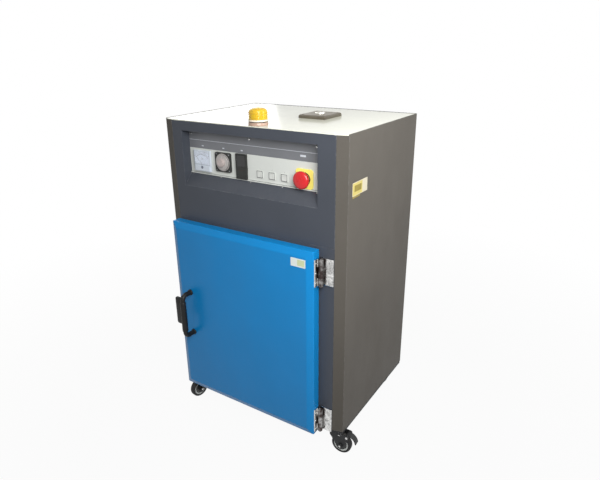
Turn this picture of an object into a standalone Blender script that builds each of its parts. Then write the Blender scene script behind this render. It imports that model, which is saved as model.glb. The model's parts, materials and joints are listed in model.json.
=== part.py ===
"""Tray cabinet dryer: an insulated cabinet on four casters with a hinged door, trays on two racks
and a control panel in a recess above the door. Metres, +Z up, the front faces -Y."""

import math

import bmesh
import bpy
from mathutils import Matrix, Vector

# Seats between pieces that touch
GAP = 0.0003
RUNNING = 0.0003

# Drying chamber, measured between its insulated walls
CHAMBER_WIDTH = 0.565
CHAMBER_DEPTH = 0.500
CHAMBER_HEIGHT = 0.650
LINER_THICKNESS = 0.0015

# Cabinet round the chamber
WALL_LEFT = 0.080
WALL_RIGHT = 0.135
WALL_BACK = 0.070
FLOOR_THICKNESS = 0.030
CEILING_THICKNESS = 0.060
HOUSING_HEIGHT = 0.375
SIDE_THICKNESS = 0.040
CORNER_BACK = 0.012
BASE_THICKNESS = 0.010
BASE_INSET = 0.0015
TOP_THICKNESS = 0.003
RIM_WIDTH = 0.003
RIM_HEIGHT = 0.001

# Racks and trays
POST_WIDTH = 0.020
POST_THICKNESS = 0.003
POST_FROM_END = 0.045
LEDGE_WIDTH = 0.019
LEDGE_THICKNESS = 0.002
LEDGE_LEG = 0.014
LEDGE_OVERHANG = 0.020
FIRST_LEDGE = 0.024
LEDGE_PITCH = 0.120
TRAY_HEIGHT = 0.028
TRAY_HEADROOM = 0.060
TRAY_WALL = 0.0015
TRAY_RIM = 0.005
TRAY_SIDE_GAP = 0.003
TRAY_FROM_FRONT = 0.024
TRAY_FROM_BACK = 0.036

# Door, which laps over the front round the chamber
DOOR_LAP_LEFT = 0.043
DOOR_LAP_RIGHT = 0.038
DOOR_LAP_TOP = 0.052
DOOR_LAP_BOTTOM = 0.048
DOOR_GAP = 0.003
DOOR_EDGE = 0.037
DOOR_BEVEL_RISE = 0.010
DOOR_BEVEL_WIDTH = 0.024
DOOR_FOLD_RADIUS = 0.0025
PLUG_CLEARANCE = 0.006
PLUG_DEPTH = 0.012
GASKET_WIDTH = 0.014
GASKET_OFFSET = 0.008

# Hinges
HINGE_HEIGHT = 0.100
HINGE_FROM_DOOR_END = 0.028
LOWER_HINGE_FROM_DOOR_END = 0.014
HINGE_AXIS_BESIDE_DOOR = 0.015
HINGE_AXIS_FROM_FRONT = 0.017
KNUCKLE_RADIUS = 0.009
PIN_RADIUS = 0.004
PIN_CAP_RADIUS = 0.0065
PIN_CAP_HEIGHT = 0.003
MIDDLE_KNUCKLE = 0.040
KNUCKLE_CLEARANCE = 0.0006
FRAME_LEAF_THICKNESS = 0.0065
FRAME_LEAF_OFFSET = -0.004
FRAME_LEAF_WIDTH = 0.046
FRAME_LEAF_ROUND = 0.002
FRAME_WEB_FROM_AXIS = 0.003
FRAME_WEB_HALF_WIDTH = 0.0035
DOOR_LEAF_THICKNESS = 0.005
DOOR_LEAF_FROM_BACK = 0.002
DOOR_WEB_HALF_THICKNESS = 0.006

# Handle
HANDLE_FROM_DOOR_EDGE = 0.072
HANDLE_LOWER_FOOT = 0.278
HANDLE_SPACING = 0.181
HANDLE_REACH = 0.048
HANDLE_BAR_RADIUS = 0.0095
HANDLE_BEND_RADIUS = 0.020
HANDLE_GRIP_RADIUS = 0.012
HANDLE_GRIP_FROM_BEND = 0.003
HANDLE_FOOT_RADIUS = 0.0125
HANDLE_FOOT_THICKNESS = 0.006
HANDLE_FOOT_NECK = 0.011
HANDLE_FOOT_SUNK = 0.0015
PADDLE_WIDTH = 0.0235
PADDLE_HEIGHT = 0.118
PADDLE_BELOW_BEND = 0.006
PADDLE_THICKNESS = 0.009
PADDLE_CORNER = 0.008

# Control recess and panel
RECESS_FROM_LEFT = 0.085
RECESS_FROM_RIGHT = 0.107
RECESS_TOP_FROM_TOP = 0.040
RECESS_DEPTH = 0.040
PANEL_THICKNESS = 0.012
BAND_HEIGHT = 0.068
SILL_DROP = 0.043
LIP_HEIGHT = 0.003
LIP_REACH = 0.005

# Spaces between the instruments on a panel of this width; a wider or narrower one spreads them alike
METER_SPACE = 0.025
TIMER_SPACE = 0.024
CONTROLLER_SPACE = 0.025
BUTTONS_SPACE = 0.041
STOP_SPACE = 0.035
END_SPACE = 0.038

# Instruments, with their heights above the lower plate's bottom edge
METER_SIZE = 0.080
METER_BOTTOM = 0.011
METER_THICKNESS = 0.010
METER_WINDOW_HEIGHT = 0.048
METER_WINDOW_DEPTH = 0.002
METER_BORDER = 0.004
TIMER_SIZE = 0.072
TIMER_BOTTOM = 0.020
TIMER_THICKNESS = 0.008
TIMER_CORNER = 0.006
DIAL_RADIUS = 0.028
DIAL_THICKNESS = 0.004
DIAL_EDGE = 0.001
DIAL_CLEARANCE = 0.001
DIAL_SHAFT_RADIUS = 0.004
DIAL_SHAFT_LENGTH = 0.006
KNOB_RADIUS = 0.0155
KNOB_TAPER = 0.0015
KNOB_LENGTH = 0.011
CONTROLLER_WIDTH = 0.048
CONTROLLER_HEIGHT = 0.092
CONTROLLER_BELOW_BAND = 0.0005
CONTROLLER_ABOVE_LIP = 0.0005
CONTROLLER_THICKNESS = 0.009
CONTROLLER_BORDER = 0.004
DISPLAY_HEIGHT = 0.042
DISPLAY_DEPTH = 0.0015
BUTTON_COUNT = 3
BUTTON_SPACE = 0.025
BUTTON_BOTTOM = 0.0165
BUTTON_FRAME_WIDTH = 0.027
BUTTON_FRAME_HEIGHT = 0.0275
BUTTON_FRAME_RAISE = 0.003
BUTTON_FRAME_WALL = 0.003
BUTTON_PROUD = 0.002
BUTTON_LENGTH = 0.009
BUTTON_POCKET_DEPTH = 0.0115
STOP_PLATE_BOTTOM = 0.004
STOP_PLATE_SIZE = 0.068
STOP_PLATE_THICKNESS = 0.004
STOP_PLATE_CORNER = 0.010
STOP_COLLAR_RADIUS = 0.020
STOP_COLLAR_HEIGHT = 0.006
STOP_STEM_RADIUS = 0.010
STOP_STEM_ENGAGED = 0.002
STOP_BORE_DEPTH = 0.009
STOP_HEAD_GAP = 0.010
STOP_HEAD_RADIUS = 0.030
STOP_HEAD_RIM = 0.0064
STOP_HEAD_DOME = 0.0096

# Beacon and vent on the top
BEACON_RADIUS = 0.0345
BEACON_RIGHT_OF_CENTRE = 0.026
BEACON_FROM_FRONT = 0.0375
BEACON_FOOT_HEIGHT = 0.010
BEACON_GROOVE_HEIGHT = 0.0045
BEACON_COLLAR_HEIGHT = 0.005
BEACON_RIB_COUNT = 4
BEACON_RIB_PITCH = 0.0066
BEACON_RIB_DEPTH = 0.0015
BEACON_DOME_HEIGHT = 0.013
VENT_WIDTH = 0.112
VENT_DEPTH = 0.126
VENT_HEIGHT = 0.013
VENT_RIGHT_OF_CENTRE = 0.1104
VENT_BEHIND_CENTRE = 0.0248
VENT_CHAMFER = 0.004
VENT_DISC_RADIUS = 0.019
VENT_DISC_HEIGHT = 0.004
VENT_DISC_EDGE = 0.001

# Casters
PLATE_LENGTH = 0.090
PLATE_WIDTH = 0.076
PLATE_THICKNESS = 0.004
PLATE_FROM_SIDE = 0.005
PLATE_FROM_END = 0.004
KINGPIN_RADIUS = 0.006
KINGPIN_LENGTH = 0.012
WHEEL_RADIUS = 0.040
WHEEL_WIDTH = 0.026
WHEEL_RIM_RADIUS = 0.030
WHEEL_DISH = 0.004
WHEEL_SHOULDER = 0.005
WHEEL_SHOULDER_FLAT = 0.0015
WHEEL_HEADROOM = 0.0117
HUB_RADIUS = 0.012
HUB_PROUD = 0.00175
TRAIL = 0.032
AXLE_RADIUS = 0.005
AXLE_NUT_RADIUS = 0.009
AXLE_NUT_HEIGHT = 0.006
FORK_GAP = 0.0035
FORK_PLATE = 0.003
FORK_HEAD_RADIUS = 0.026
FORK_HEAD_LOW_RADIUS = 0.021
FORK_HEAD_TOP_RADIUS = 0.0235
FORK_HEAD_HEIGHT = 0.014
FORK_HEAD_LOW_ROUND = 0.004
FORK_HEAD_TOP_ROUND = 0.003
FORK_CROWN = 0.005
FORK_CROWN_BEHIND = 0.013
FORK_END_RADIUS = 0.013
PEDAL_BEYOND_AXLE = 0.026
PEDAL_ABOVE_WHEEL = 0.006
PEDAL_PIN_RADIUS = 0.003
PEDAL_BARREL_RADIUS = 0.007
PEDAL_EAR_RADIUS = 0.008
PEDAL_ARC_RADIUS = 0.036
PEDAL_THICKNESS = 0.004
PEDAL_WIDTH = 0.024
PEDAL_SIDE_ROOM = 0.0006
PEDAL_ARC_FROM = 95
PEDAL_ARC_TO = 5

# Each caster's turn about its swivel, in degrees from the cabinet's right, as in the photograph
FRONT_RIGHT_TURN = 4
FRONT_LEFT_TURN = -100
BACK_RIGHT_TURN = 180
BACK_LEFT_TURN = 0

# Facets round a turned piece
TURN_STEPS = 24
SMALL_STEPS = 20
PIN_STEPS = 12
WHEEL_STEPS = 28
BEACON_STEPS = 30
BEND_STEPS = 5
BAR_SIDES = 14

# Places worked out from the sizes above
WIDTH = WALL_LEFT + CHAMBER_WIDTH + WALL_RIGHT
DEPTH = CHAMBER_DEPTH + WALL_BACK
LEFT = -WIDTH / 2
RIGHT = WIDTH / 2
FRONT = -DEPTH / 2
BACK = DEPTH / 2
FORK_TOP = 2 * WHEEL_RADIUS + WHEEL_HEADROOM + FORK_HEAD_HEIGHT
BOTTOM = FORK_TOP + GAP + PLATE_THICKNESS
ABOVE_BASE = BOTTOM + BASE_THICKNESS + GAP
INNER_LEFT = LEFT + SIDE_THICKNESS + GAP
INNER_RIGHT = RIGHT - SIDE_THICKNESS - GAP
CHAMBER_LEFT = LEFT + WALL_LEFT
CHAMBER_RIGHT = RIGHT - WALL_RIGHT
CHAMBER_BACK = BACK - WALL_BACK
CHAMBER_FLOOR = ABOVE_BASE + FLOOR_THICKNESS
CHAMBER_CEILING = CHAMBER_FLOOR + CHAMBER_HEIGHT
CEILING_TOP = CHAMBER_CEILING + CEILING_THICKNESS
UNDER_TOP = CEILING_TOP + GAP + HOUSING_HEIGHT
TOP_FACE = UNDER_TOP + GAP + TOP_THICKNESS
TOP = TOP_FACE + RIM_HEIGHT
LINER_LEFT = CHAMBER_LEFT + GAP + LINER_THICKNESS
LINER_RIGHT = CHAMBER_RIGHT - GAP - LINER_THICKNESS
LINER_FLOOR = CHAMBER_FLOOR + GAP + LINER_THICKNESS
LINER_CEILING = CHAMBER_CEILING - GAP - LINER_THICKNESS
TRAY_COUNT = 1 + math.floor((CHAMBER_HEIGHT - FIRST_LEDGE - TRAY_HEIGHT - TRAY_HEADROOM) / LEDGE_PITCH)
DOOR_LEFT = CHAMBER_LEFT - DOOR_LAP_LEFT
DOOR_RIGHT = CHAMBER_RIGHT + DOOR_LAP_RIGHT
DOOR_BOTTOM = CHAMBER_FLOOR - DOOR_LAP_BOTTOM
DOOR_TOP = CHAMBER_CEILING + DOOR_LAP_TOP
DOOR_BACK = FRONT - DOOR_GAP
DOOR_SHOULDER = DOOR_BACK - DOOR_EDGE
DOOR_FACE = DOOR_SHOULDER - DOOR_BEVEL_RISE
HINGE_X = DOOR_RIGHT + HINGE_AXIS_BESIDE_DOOR
HINGE_Y = FRONT - HINGE_AXIS_FROM_FRONT
RECESS_LEFT = LEFT + RECESS_FROM_LEFT
RECESS_RIGHT = RIGHT - RECESS_FROM_RIGHT
PANEL_FACE = FRONT + RECESS_DEPTH
PANEL_TOP = TOP - RECESS_TOP_FROM_TOP
PLATE_TOP = PANEL_TOP - BAND_HEIGHT
CONTROLLER_LOW = PLATE_TOP - CONTROLLER_BELOW_BAND - CONTROLLER_HEIGHT
PANEL_BOTTOM = CONTROLLER_LOW - CONTROLLER_ABOVE_LIP - LIP_HEIGHT
PANEL_LEFT = RECESS_LEFT + GAP
PANEL_RIGHT = RECESS_RIGHT - GAP
BUTTON_PITCH = BUTTON_FRAME_WIDTH + BUTTON_SPACE
BUTTONS_WIDTH = BUTTON_COUNT * BUTTON_PITCH - BUTTON_SPACE
INSTRUMENTS = METER_SIZE + TIMER_SIZE + CONTROLLER_WIDTH + BUTTONS_WIDTH + STOP_PLATE_SIZE
SPACES = METER_SPACE + TIMER_SPACE + CONTROLLER_SPACE + BUTTONS_SPACE + STOP_SPACE + END_SPACE
SPREAD = (PANEL_RIGHT - PANEL_LEFT - INSTRUMENTS) / SPACES
METER_LEFT = PANEL_LEFT + METER_SPACE * SPREAD
TIMER_LEFT = METER_LEFT + METER_SIZE + TIMER_SPACE * SPREAD
CONTROLLER_LEFT = TIMER_LEFT + TIMER_SIZE + CONTROLLER_SPACE * SPREAD
BUTTONS_LEFT = CONTROLLER_LEFT + CONTROLLER_WIDTH + BUTTONS_SPACE * SPREAD
STOP_CENTRE = BUTTONS_LEFT + BUTTONS_WIDTH + STOP_SPACE * SPREAD + STOP_PLATE_SIZE / 2
PEDAL_PIVOT_OUT = TRAIL + PEDAL_BEYOND_AXLE
PEDAL_PIVOT_HEIGHT = 2 * WHEEL_RADIUS + PEDAL_ABOVE_WHEEL

# name: base colour, metallic, roughness
COLOURS = {
    "cabinet_paint": ((0.10, 0.11, 0.13, 1), 0.0, 0.35),
    "door_paint": ((0.03, 0.20, 0.50, 1), 0.0, 0.3),
    "top_paint": ((0.85, 0.84, 0.76, 1), 0.0, 0.2),
    "stainless": ((0.62, 0.62, 0.62, 1), 1.0, 0.3),
    "panel_grey": ((0.68, 0.69, 0.70, 1), 0.0, 0.5),
    "band_grey": ((0.22, 0.23, 0.27, 1), 0.0, 0.5),
    "instrument_black": ((0.02, 0.02, 0.02, 1), 0.0, 0.4),
    "meter_clear": ((0.75, 0.80, 0.85, 1), 0.0, 0.2),
    "dial_grey": ((0.35, 0.34, 0.33, 1), 0.0, 0.5),
    "button_grey": ((0.55, 0.56, 0.56, 1), 0.0, 0.4),
    "signal_red": ((0.65, 0.02, 0.03, 1), 0.0, 0.3),
    "signal_yellow": ((0.90, 0.62, 0.05, 1), 0.0, 0.4),
    "beacon_yellow": ((0.90, 0.65, 0.02, 1), 0.0, 0.25),
    "beacon_cream": ((0.80, 0.72, 0.50, 1), 0.0, 0.3),
    "chrome": ((0.8, 0.8, 0.8, 1), 1.0, 0.12),
    "handle_black": ((0.015, 0.015, 0.015, 1), 0.0, 0.4),
    "seal_rubber": ((0.05, 0.05, 0.05, 1), 0.0, 0.8),
    "caster_steel": ((0.05, 0.05, 0.05, 1), 0.6, 0.45),
    "caster_tyre": ((0.02, 0.02, 0.02, 1), 0.0, 0.7),
    "vent_metal": ((0.30, 0.27, 0.24, 1), 0.9, 0.45),
}


def clear_scene():
    for obj in list(bpy.data.objects):
        bpy.data.objects.remove(obj)


def new_collection(name):
    collection = bpy.data.collections.new(name)
    bpy.context.scene.collection.children.link(collection)
    return collection


def material(name):
    made = bpy.data.materials.get(name)
    if made:
        return made
    colour, metallic, roughness = COLOURS[name]
    made = bpy.data.materials.new(name)
    made.use_nodes = True
    shader = made.node_tree.nodes["Principled BSDF"]
    shader.inputs["Base Color"].default_value = colour
    shader.inputs["Metallic"].default_value = metallic
    shader.inputs["Roughness"].default_value = roughness
    made.diffuse_color = colour
    return made


def object_from(name, bm, collection, colour=None, origin=(0, 0, 0)):
    """Turns the bmesh, in cabinet coordinates, into an object whose origin is the point given."""
    bmesh.ops.recalc_face_normals(bm, faces=bm.faces)
    bmesh.ops.translate(bm, verts=bm.verts, vec=-Vector(origin))
    mesh = bpy.data.meshes.new(name)
    bm.to_mesh(mesh)
    bm.free()
    obj = bpy.data.objects.new(name, mesh)
    obj.location = origin
    collection.objects.link(obj)
    if colour:
        mesh.materials.append(material(colour))
    return obj


def add_prism(bm, outline, low, high, axis="Z"):
    """Adds the outline, extruded along the axis. Its points are the other two coordinates in XYZ order."""
    place = {
        "X": lambda u, v, w: (w, u, v),
        "Y": lambda u, v, w: (u, w, v),
        "Z": lambda u, v, w: (u, v, w),
    }[axis]
    rings = [[bm.verts.new(place(u, v, w)) for u, v in outline] for w in (low, high)]
    bm.faces.new(rings[0])
    bm.faces.new(rings[1])
    for i in range(len(outline)):
        j = (i + 1) % len(outline)
        bm.faces.new((rings[0][i], rings[0][j], rings[1][j], rings[1][i]))


def add_box(bm, x, y, z):
    add_prism(bm, [(x[0], y[0]), (x[1], y[0]), (x[1], y[1]), (x[0], y[1])], z[0], z[1])


def add_turned(bm, profile, centre, axis="Z", steps=TURN_STEPS):
    """Turns the profile of (radius, height) points about the axis through centre. A profile whose
    ends have no radius makes a solid of them, and any other profile is closed into a ring."""
    solid = profile[0][0] == 0 and profile[-1][0] == 0
    place = {
        "X": lambda a, b, h: (h, a, b),
        "Y": lambda a, b, h: (a, h, b),
        "Z": lambda a, b, h: (a, b, h),
    }[axis]
    rings = []
    for radius, height in profile:
        if radius == 0:
            rings.append([bm.verts.new(Vector(place(0, 0, height)) + Vector(centre))] * steps)
            continue
        ring = []
        for step in range(steps):
            angle = 2 * math.pi * step / steps
            at = place(radius * math.cos(angle), radius * math.sin(angle), height)
            ring.append(bm.verts.new(Vector(at) + Vector(centre)))
        rings.append(ring)
    pairs = list(zip(rings, rings[1:]))
    if not solid:
        pairs.append((rings[-1], rings[0]))
    for low, high in pairs:
        for i in range(steps):
            j = (i + 1) % steps
            corners = list(dict.fromkeys((low[i], low[j], high[j], high[i])))
            if len(corners) > 2:
                bm.faces.new(corners)


def prism(name, outline, low, high, axis, collection, colour=None, origin=(0, 0, 0)):
    bm = bmesh.new()
    add_prism(bm, outline, low, high, axis)
    return object_from(name, bm, collection, colour, origin)


def box(name, x, y, z, collection, colour=None, origin=(0, 0, 0)):
    bm = bmesh.new()
    add_box(bm, x, y, z)
    return object_from(name, bm, collection, colour, origin)


def turned(name, profile, centre, axis, collection, colour=None, origin=(0, 0, 0), steps=TURN_STEPS):
    bm = bmesh.new()
    add_turned(bm, profile, centre, axis, steps)
    return object_from(name, bm, collection, colour, origin)


def rounded_rectangle(u, v, radius, steps=4):
    """The outline of the rectangle between the two values of u and of v, with quarter-round corners."""
    points = []
    corners = (
        (u[1] - radius, v[1] - radius, 0),
        (u[0] + radius, v[1] - radius, 90),
        (u[0] + radius, v[0] + radius, 180),
        (u[1] - radius, v[0] + radius, 270),
    )
    for centre_u, centre_v, start in corners:
        points += arc_points((centre_u, centre_v), radius, start, start + 90, steps)
    return points


def arc_points(centre, radius, start, end, steps=8):
    """Points along the arc about the centre, from the start angle to the end angle in degrees."""
    points = []
    for step in range(steps + 1):
        angle = math.radians(start + (end - start) * step / steps)
        points.append((centre[0] + radius * math.cos(angle), centre[1] + radius * math.sin(angle)))
    return points


def hull_of_circles(circles, steps=24):
    """The convex outline round the circles, each (u, v, radius)."""
    points = []
    for centre_u, centre_v, radius in circles:
        for step in range(steps):
            angle = 2 * math.pi * step / steps
            points.append((centre_u + radius * math.cos(angle), centre_v + radius * math.sin(angle)))
    points.sort()

    def chain(ordered):
        kept = []
        for point in ordered:
            while len(kept) > 1:
                (au, av), (bu, bv) = kept[-2], kept[-1]
                turn = (bu - au) * (point[1] - bv) - (bv - av) * (point[0] - bu)
                if turn > 1e-12:
                    break
                kept.pop()
            kept.append(point)
        return kept[:-1]

    return chain(points) + chain(list(reversed(points)))


def join_with(obj, other, operation):
    """Adds a live Boolean to obj with the other object, which becomes a hidden helper."""
    other.hide_render = True
    other.display_type = "WIRE"
    modifier = obj.modifiers.new(f"{operation.lower()} {other.name}", "BOOLEAN")
    modifier.operation = operation
    modifier.solver = "EXACT"
    modifier.object = other


def cut(obj, other):
    join_with(obj, other, "DIFFERENCE")


def fuse(obj, other):
    join_with(obj, other, "UNION")


def soften(obj, width, segments=2, angle=30):
    modifier = obj.modifiers.new("folds", "BEVEL")
    modifier.width = width
    modifier.segments = segments
    modifier.limit_method = "ANGLE"
    modifier.angle_limit = math.radians(angle)


def body_outline(inset, front_inset):
    """The cabinet's plan with its two bent front corners."""
    return [
        (LEFT + SIDE_THICKNESS, FRONT + front_inset),
        (RIGHT - SIDE_THICKNESS, FRONT + front_inset),
        (RIGHT - inset, FRONT + CORNER_BACK),
        (RIGHT - inset, BACK - inset),
        (LEFT + inset, BACK - inset),
        (LEFT + inset, FRONT + CORNER_BACK),
    ]


def caster_places():
    """Each caster's name, swivel point, turn of its trail in degrees and whether it has a brake."""
    x = RIGHT - PLATE_FROM_SIDE - PLATE_LENGTH / 2
    y = BACK - PLATE_FROM_END - PLATE_WIDTH / 2
    return (
        ("front_left", -x, -y, FRONT_LEFT_TURN, False),
        ("front_right", x, -y, FRONT_RIGHT_TURN, True),
        ("back_left", -x, y, BACK_LEFT_TURN, False),
        ("back_right", x, y, BACK_RIGHT_TURN, False),
    )


def build_base(parts, helpers):
    """The base frame with the casters' top plates and kingpins."""
    outline = body_outline(BASE_INSET, BASE_INSET)
    base = prism("base_frame", outline, BOTTOM, BOTTOM + BASE_THICKNESS, "Z", parts, "cabinet_paint")
    overlap = BASE_THICKNESS / 2
    for name, x, y, _, _ in caster_places():
        plate = box(
            f"plate_{name}",
            (x - PLATE_LENGTH / 2, x + PLATE_LENGTH / 2),
            (y - PLATE_WIDTH / 2, y + PLATE_WIDTH / 2),
            (BOTTOM - PLATE_THICKNESS, BOTTOM + overlap),
            helpers,
        )
        fuse(base, plate)
        pin_low = BOTTOM - PLATE_THICKNESS - KINGPIN_LENGTH
        pin_high = BOTTOM + overlap
        pin = turned(
            f"kingpin_{name}",
            [(0, pin_low), (KINGPIN_RADIUS, pin_low), (KINGPIN_RADIUS, pin_high), (0, pin_high)],
            (x, y, 0),
            "Z",
            helpers,
            steps=PIN_STEPS,
        )
        fuse(base, pin)


def build_body(parts, helpers):
    """The side panels, insulated walls, control housing and top."""
    rim_cutter = box(
        "top_seat",
        (LEFT + RIM_WIDTH, RIGHT - RIM_WIDTH),
        (FRONT - RIM_WIDTH, BACK - RIM_WIDTH),
        (UNDER_TOP, TOP + RIM_WIDTH),
        helpers,
    )
    for side, sign in (("left", -1), ("right", 1)):
        outer = sign * WIDTH / 2
        inner = outer - sign * SIDE_THICKNESS
        outline = [(outer, BACK), (outer, FRONT + CORNER_BACK), (inner, FRONT), (inner, BACK)]
        panel = prism(f"side_panel_{side}", outline, ABOVE_BASE, TOP, "Z", parts, "cabinet_paint")
        cut(panel, rim_cutter)
    box(
        "inner_wall_left",
        (INNER_LEFT, CHAMBER_LEFT),
        (FRONT, CHAMBER_BACK - GAP),
        (ABOVE_BASE, CEILING_TOP),
        parts,
        "cabinet_paint",
    )
    box(
        "inner_wall_right",
        (CHAMBER_RIGHT, INNER_RIGHT),
        (FRONT, CHAMBER_BACK - GAP),
        (ABOVE_BASE, CEILING_TOP),
        parts,
        "cabinet_paint",
    )
    between = (CHAMBER_LEFT + GAP, CHAMBER_RIGHT - GAP)
    front_to_back = (FRONT, CHAMBER_BACK - GAP)
    box("chamber_floor", between, front_to_back, (ABOVE_BASE, CHAMBER_FLOOR), parts, "cabinet_paint")
    box("chamber_ceiling", between, front_to_back, (CHAMBER_CEILING, CEILING_TOP), parts, "cabinet_paint")
    across = (INNER_LEFT, INNER_RIGHT)
    back = box("back_wall", across, (CHAMBER_BACK, BACK), (ABOVE_BASE, TOP), parts, "cabinet_paint")
    cut(back, rim_cutter)
    housing = box(
        "control_housing",
        across,
        (FRONT, CHAMBER_BACK - GAP),
        (CEILING_TOP + GAP, UNDER_TOP),
        parts,
        "cabinet_paint",
    )
    past = RECESS_DEPTH
    panel_back = PANEL_FACE + PANEL_THICKNESS + GAP
    recess = prism(
        "recess",
        [
            (FRONT - past, PANEL_BOTTOM - GAP - SILL_DROP * (RECESS_DEPTH + past) / RECESS_DEPTH),
            (PANEL_FACE, PANEL_BOTTOM - GAP),
            (panel_back, PANEL_BOTTOM - GAP),
            (panel_back, PANEL_TOP + GAP),
            (FRONT - past, PANEL_TOP + GAP),
        ],
        RECESS_LEFT,
        RECESS_RIGHT,
        "X",
        helpers,
    )
    cut(housing, recess)
    outline = body_outline(RIM_WIDTH + GAP, 0)
    prism("top_panel", outline, UNDER_TOP + GAP, TOP_FACE, "Z", parts, "top_paint")


def build_liner(parts, helpers):
    """The stainless lining of the chamber, open at the front."""
    liner = box(
        "liner",
        (CHAMBER_LEFT + GAP, CHAMBER_RIGHT - GAP),
        (FRONT + LINER_THICKNESS, CHAMBER_BACK - GAP),
        (CHAMBER_FLOOR + GAP, CHAMBER_CEILING - GAP),
        parts,
        "stainless",
    )
    hollow = box(
        "liner_hollow",
        (LINER_LEFT, LINER_RIGHT),
        (FRONT - LINER_THICKNESS, CHAMBER_BACK - GAP - LINER_THICKNESS),
        (LINER_FLOOR, LINER_CEILING),
        helpers,
    )
    cut(liner, hollow)


def ledge_height(level):
    return LINER_FLOOR + FIRST_LEDGE + level * LEDGE_PITCH


def build_racks(parts, helpers):
    """A rack on each side: two posts and a row of ledges that carry the trays."""
    for side, wall, inward in (("left", LINER_LEFT, 1), ("right", LINER_RIGHT, -1)):
        near = wall + inward * GAP
        far = near + inward * POST_THICKNESS
        across = sorted((near, far))
        upright = (LINER_FLOOR + GAP, LINER_CEILING - GAP)
        first = FRONT + POST_FROM_END
        last = CHAMBER_BACK - POST_FROM_END
        rack = box(f"rack_{side}", across, (first, first + POST_WIDTH), upright, parts, "stainless")
        post = box(f"post_{side}", across, (last - POST_WIDTH, last), upright, helpers)
        fuse(rack, post)
        ledge_y = (first - LEDGE_OVERHANG, last + LEDGE_OVERHANG)
        root = near + inward * POST_THICKNESS / 2
        leg = far + inward * LEDGE_THICKNESS
        tip = far + inward * LEDGE_WIDTH
        for level in range(TRAY_COUNT):
            top = ledge_height(level)
            under = top - LEDGE_THICKNESS
            low = top - LEDGE_LEG
            outline = [(root, low), (leg, low), (leg, under), (tip, under), (tip, top), (root, top)]
            ledge = prism(f"ledge_{side}_{level}", outline, *ledge_y, "Y", helpers)
            fuse(rack, ledge)


def build_trays(parts, helpers):
    """Shallow pans with a flat rim, one on each pair of ledges."""
    rack_face = GAP + POST_THICKNESS
    rim_x = (LINER_LEFT + rack_face + TRAY_SIDE_GAP, LINER_RIGHT - rack_face - TRAY_SIDE_GAP)
    pan_x = (rim_x[0] + TRAY_RIM, rim_x[1] - TRAY_RIM)
    rim_y = (FRONT + TRAY_FROM_FRONT, CHAMBER_BACK - TRAY_FROM_BACK)
    pan_y = (rim_y[0] + TRAY_RIM, rim_y[1] - TRAY_RIM)
    for level in range(TRAY_COUNT):
        low = ledge_height(level) + GAP
        high = low + TRAY_HEIGHT
        tray = box(f"tray_{level + 1}", pan_x, pan_y, (low, high), parts, "stainless")
        rim = box(f"tray_rim_{level + 1}", rim_x, rim_y, (high - TRAY_WALL, high), helpers)
        fuse(tray, rim)
        hollow = box(
            f"tray_hollow_{level + 1}",
            (pan_x[0] + TRAY_WALL, pan_x[1] - TRAY_WALL),
            (pan_y[0] + TRAY_WALL, pan_y[1] - TRAY_WALL),
            (low + TRAY_WALL, high + TRAY_HEIGHT),
            helpers,
        )
        cut(tray, hollow)


def build_door(parts, helpers):
    """The folded pan of the door with its bevelled border, the inner panel and the seal."""
    axis = (HINGE_X, HINGE_Y, DOOR_BOTTOM)
    bm = bmesh.new()
    rings = []
    for y, inset in ((DOOR_BACK, 0), (DOOR_SHOULDER, 0), (DOOR_FACE, DOOR_BEVEL_WIDTH)):
        low_x, high_x = DOOR_LEFT + inset, DOOR_RIGHT - inset
        low_z, high_z = DOOR_BOTTOM + inset, DOOR_TOP - inset
        corners = ((low_x, low_z), (high_x, low_z), (high_x, high_z), (low_x, high_z))
        rings.append([bm.verts.new((x, y, z)) for x, z in corners])
    bm.faces.new(rings[0])
    bm.faces.new(rings[2])
    for low, high in zip(rings, rings[1:]):
        for i in range(4):
            j = (i + 1) % 4
            bm.faces.new((low[i], low[j], high[j], high[i]))
    leaf = object_from("door_leaf", bm, parts, "door_paint", axis)
    soften(leaf, DOOR_FOLD_RADIUS, 2, 20)

    plug_x = (LINER_LEFT + PLUG_CLEARANCE, LINER_RIGHT - PLUG_CLEARANCE)
    plug_z = (LINER_FLOOR + PLUG_CLEARANCE, LINER_CEILING - PLUG_CLEARANCE)
    plug_y = (DOOR_BACK + GAP, FRONT + PLUG_DEPTH)
    panel = box("door_inner_panel", plug_x, plug_y, plug_z, parts, "stainless", axis)
    soften(panel, DOOR_FOLD_RADIUS, 2)

    inner_x = (CHAMBER_LEFT - GASKET_OFFSET, CHAMBER_RIGHT + GASKET_OFFSET)
    inner_z = (CHAMBER_FLOOR - GASKET_OFFSET, CHAMBER_CEILING + GASKET_OFFSET)
    outer_x = (inner_x[0] - GASKET_WIDTH, inner_x[1] + GASKET_WIDTH)
    outer_z = (inner_z[0] - GASKET_WIDTH, inner_z[1] + GASKET_WIDTH)
    seal = box("door_seal", outer_x, (DOOR_BACK + GAP, FRONT - GAP), outer_z, parts, "seal_rubber", axis)
    hole = box("seal_hole", inner_x, (DOOR_BACK - DOOR_GAP, FRONT + DOOR_GAP), inner_z, helpers)
    cut(seal, hole)


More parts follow.
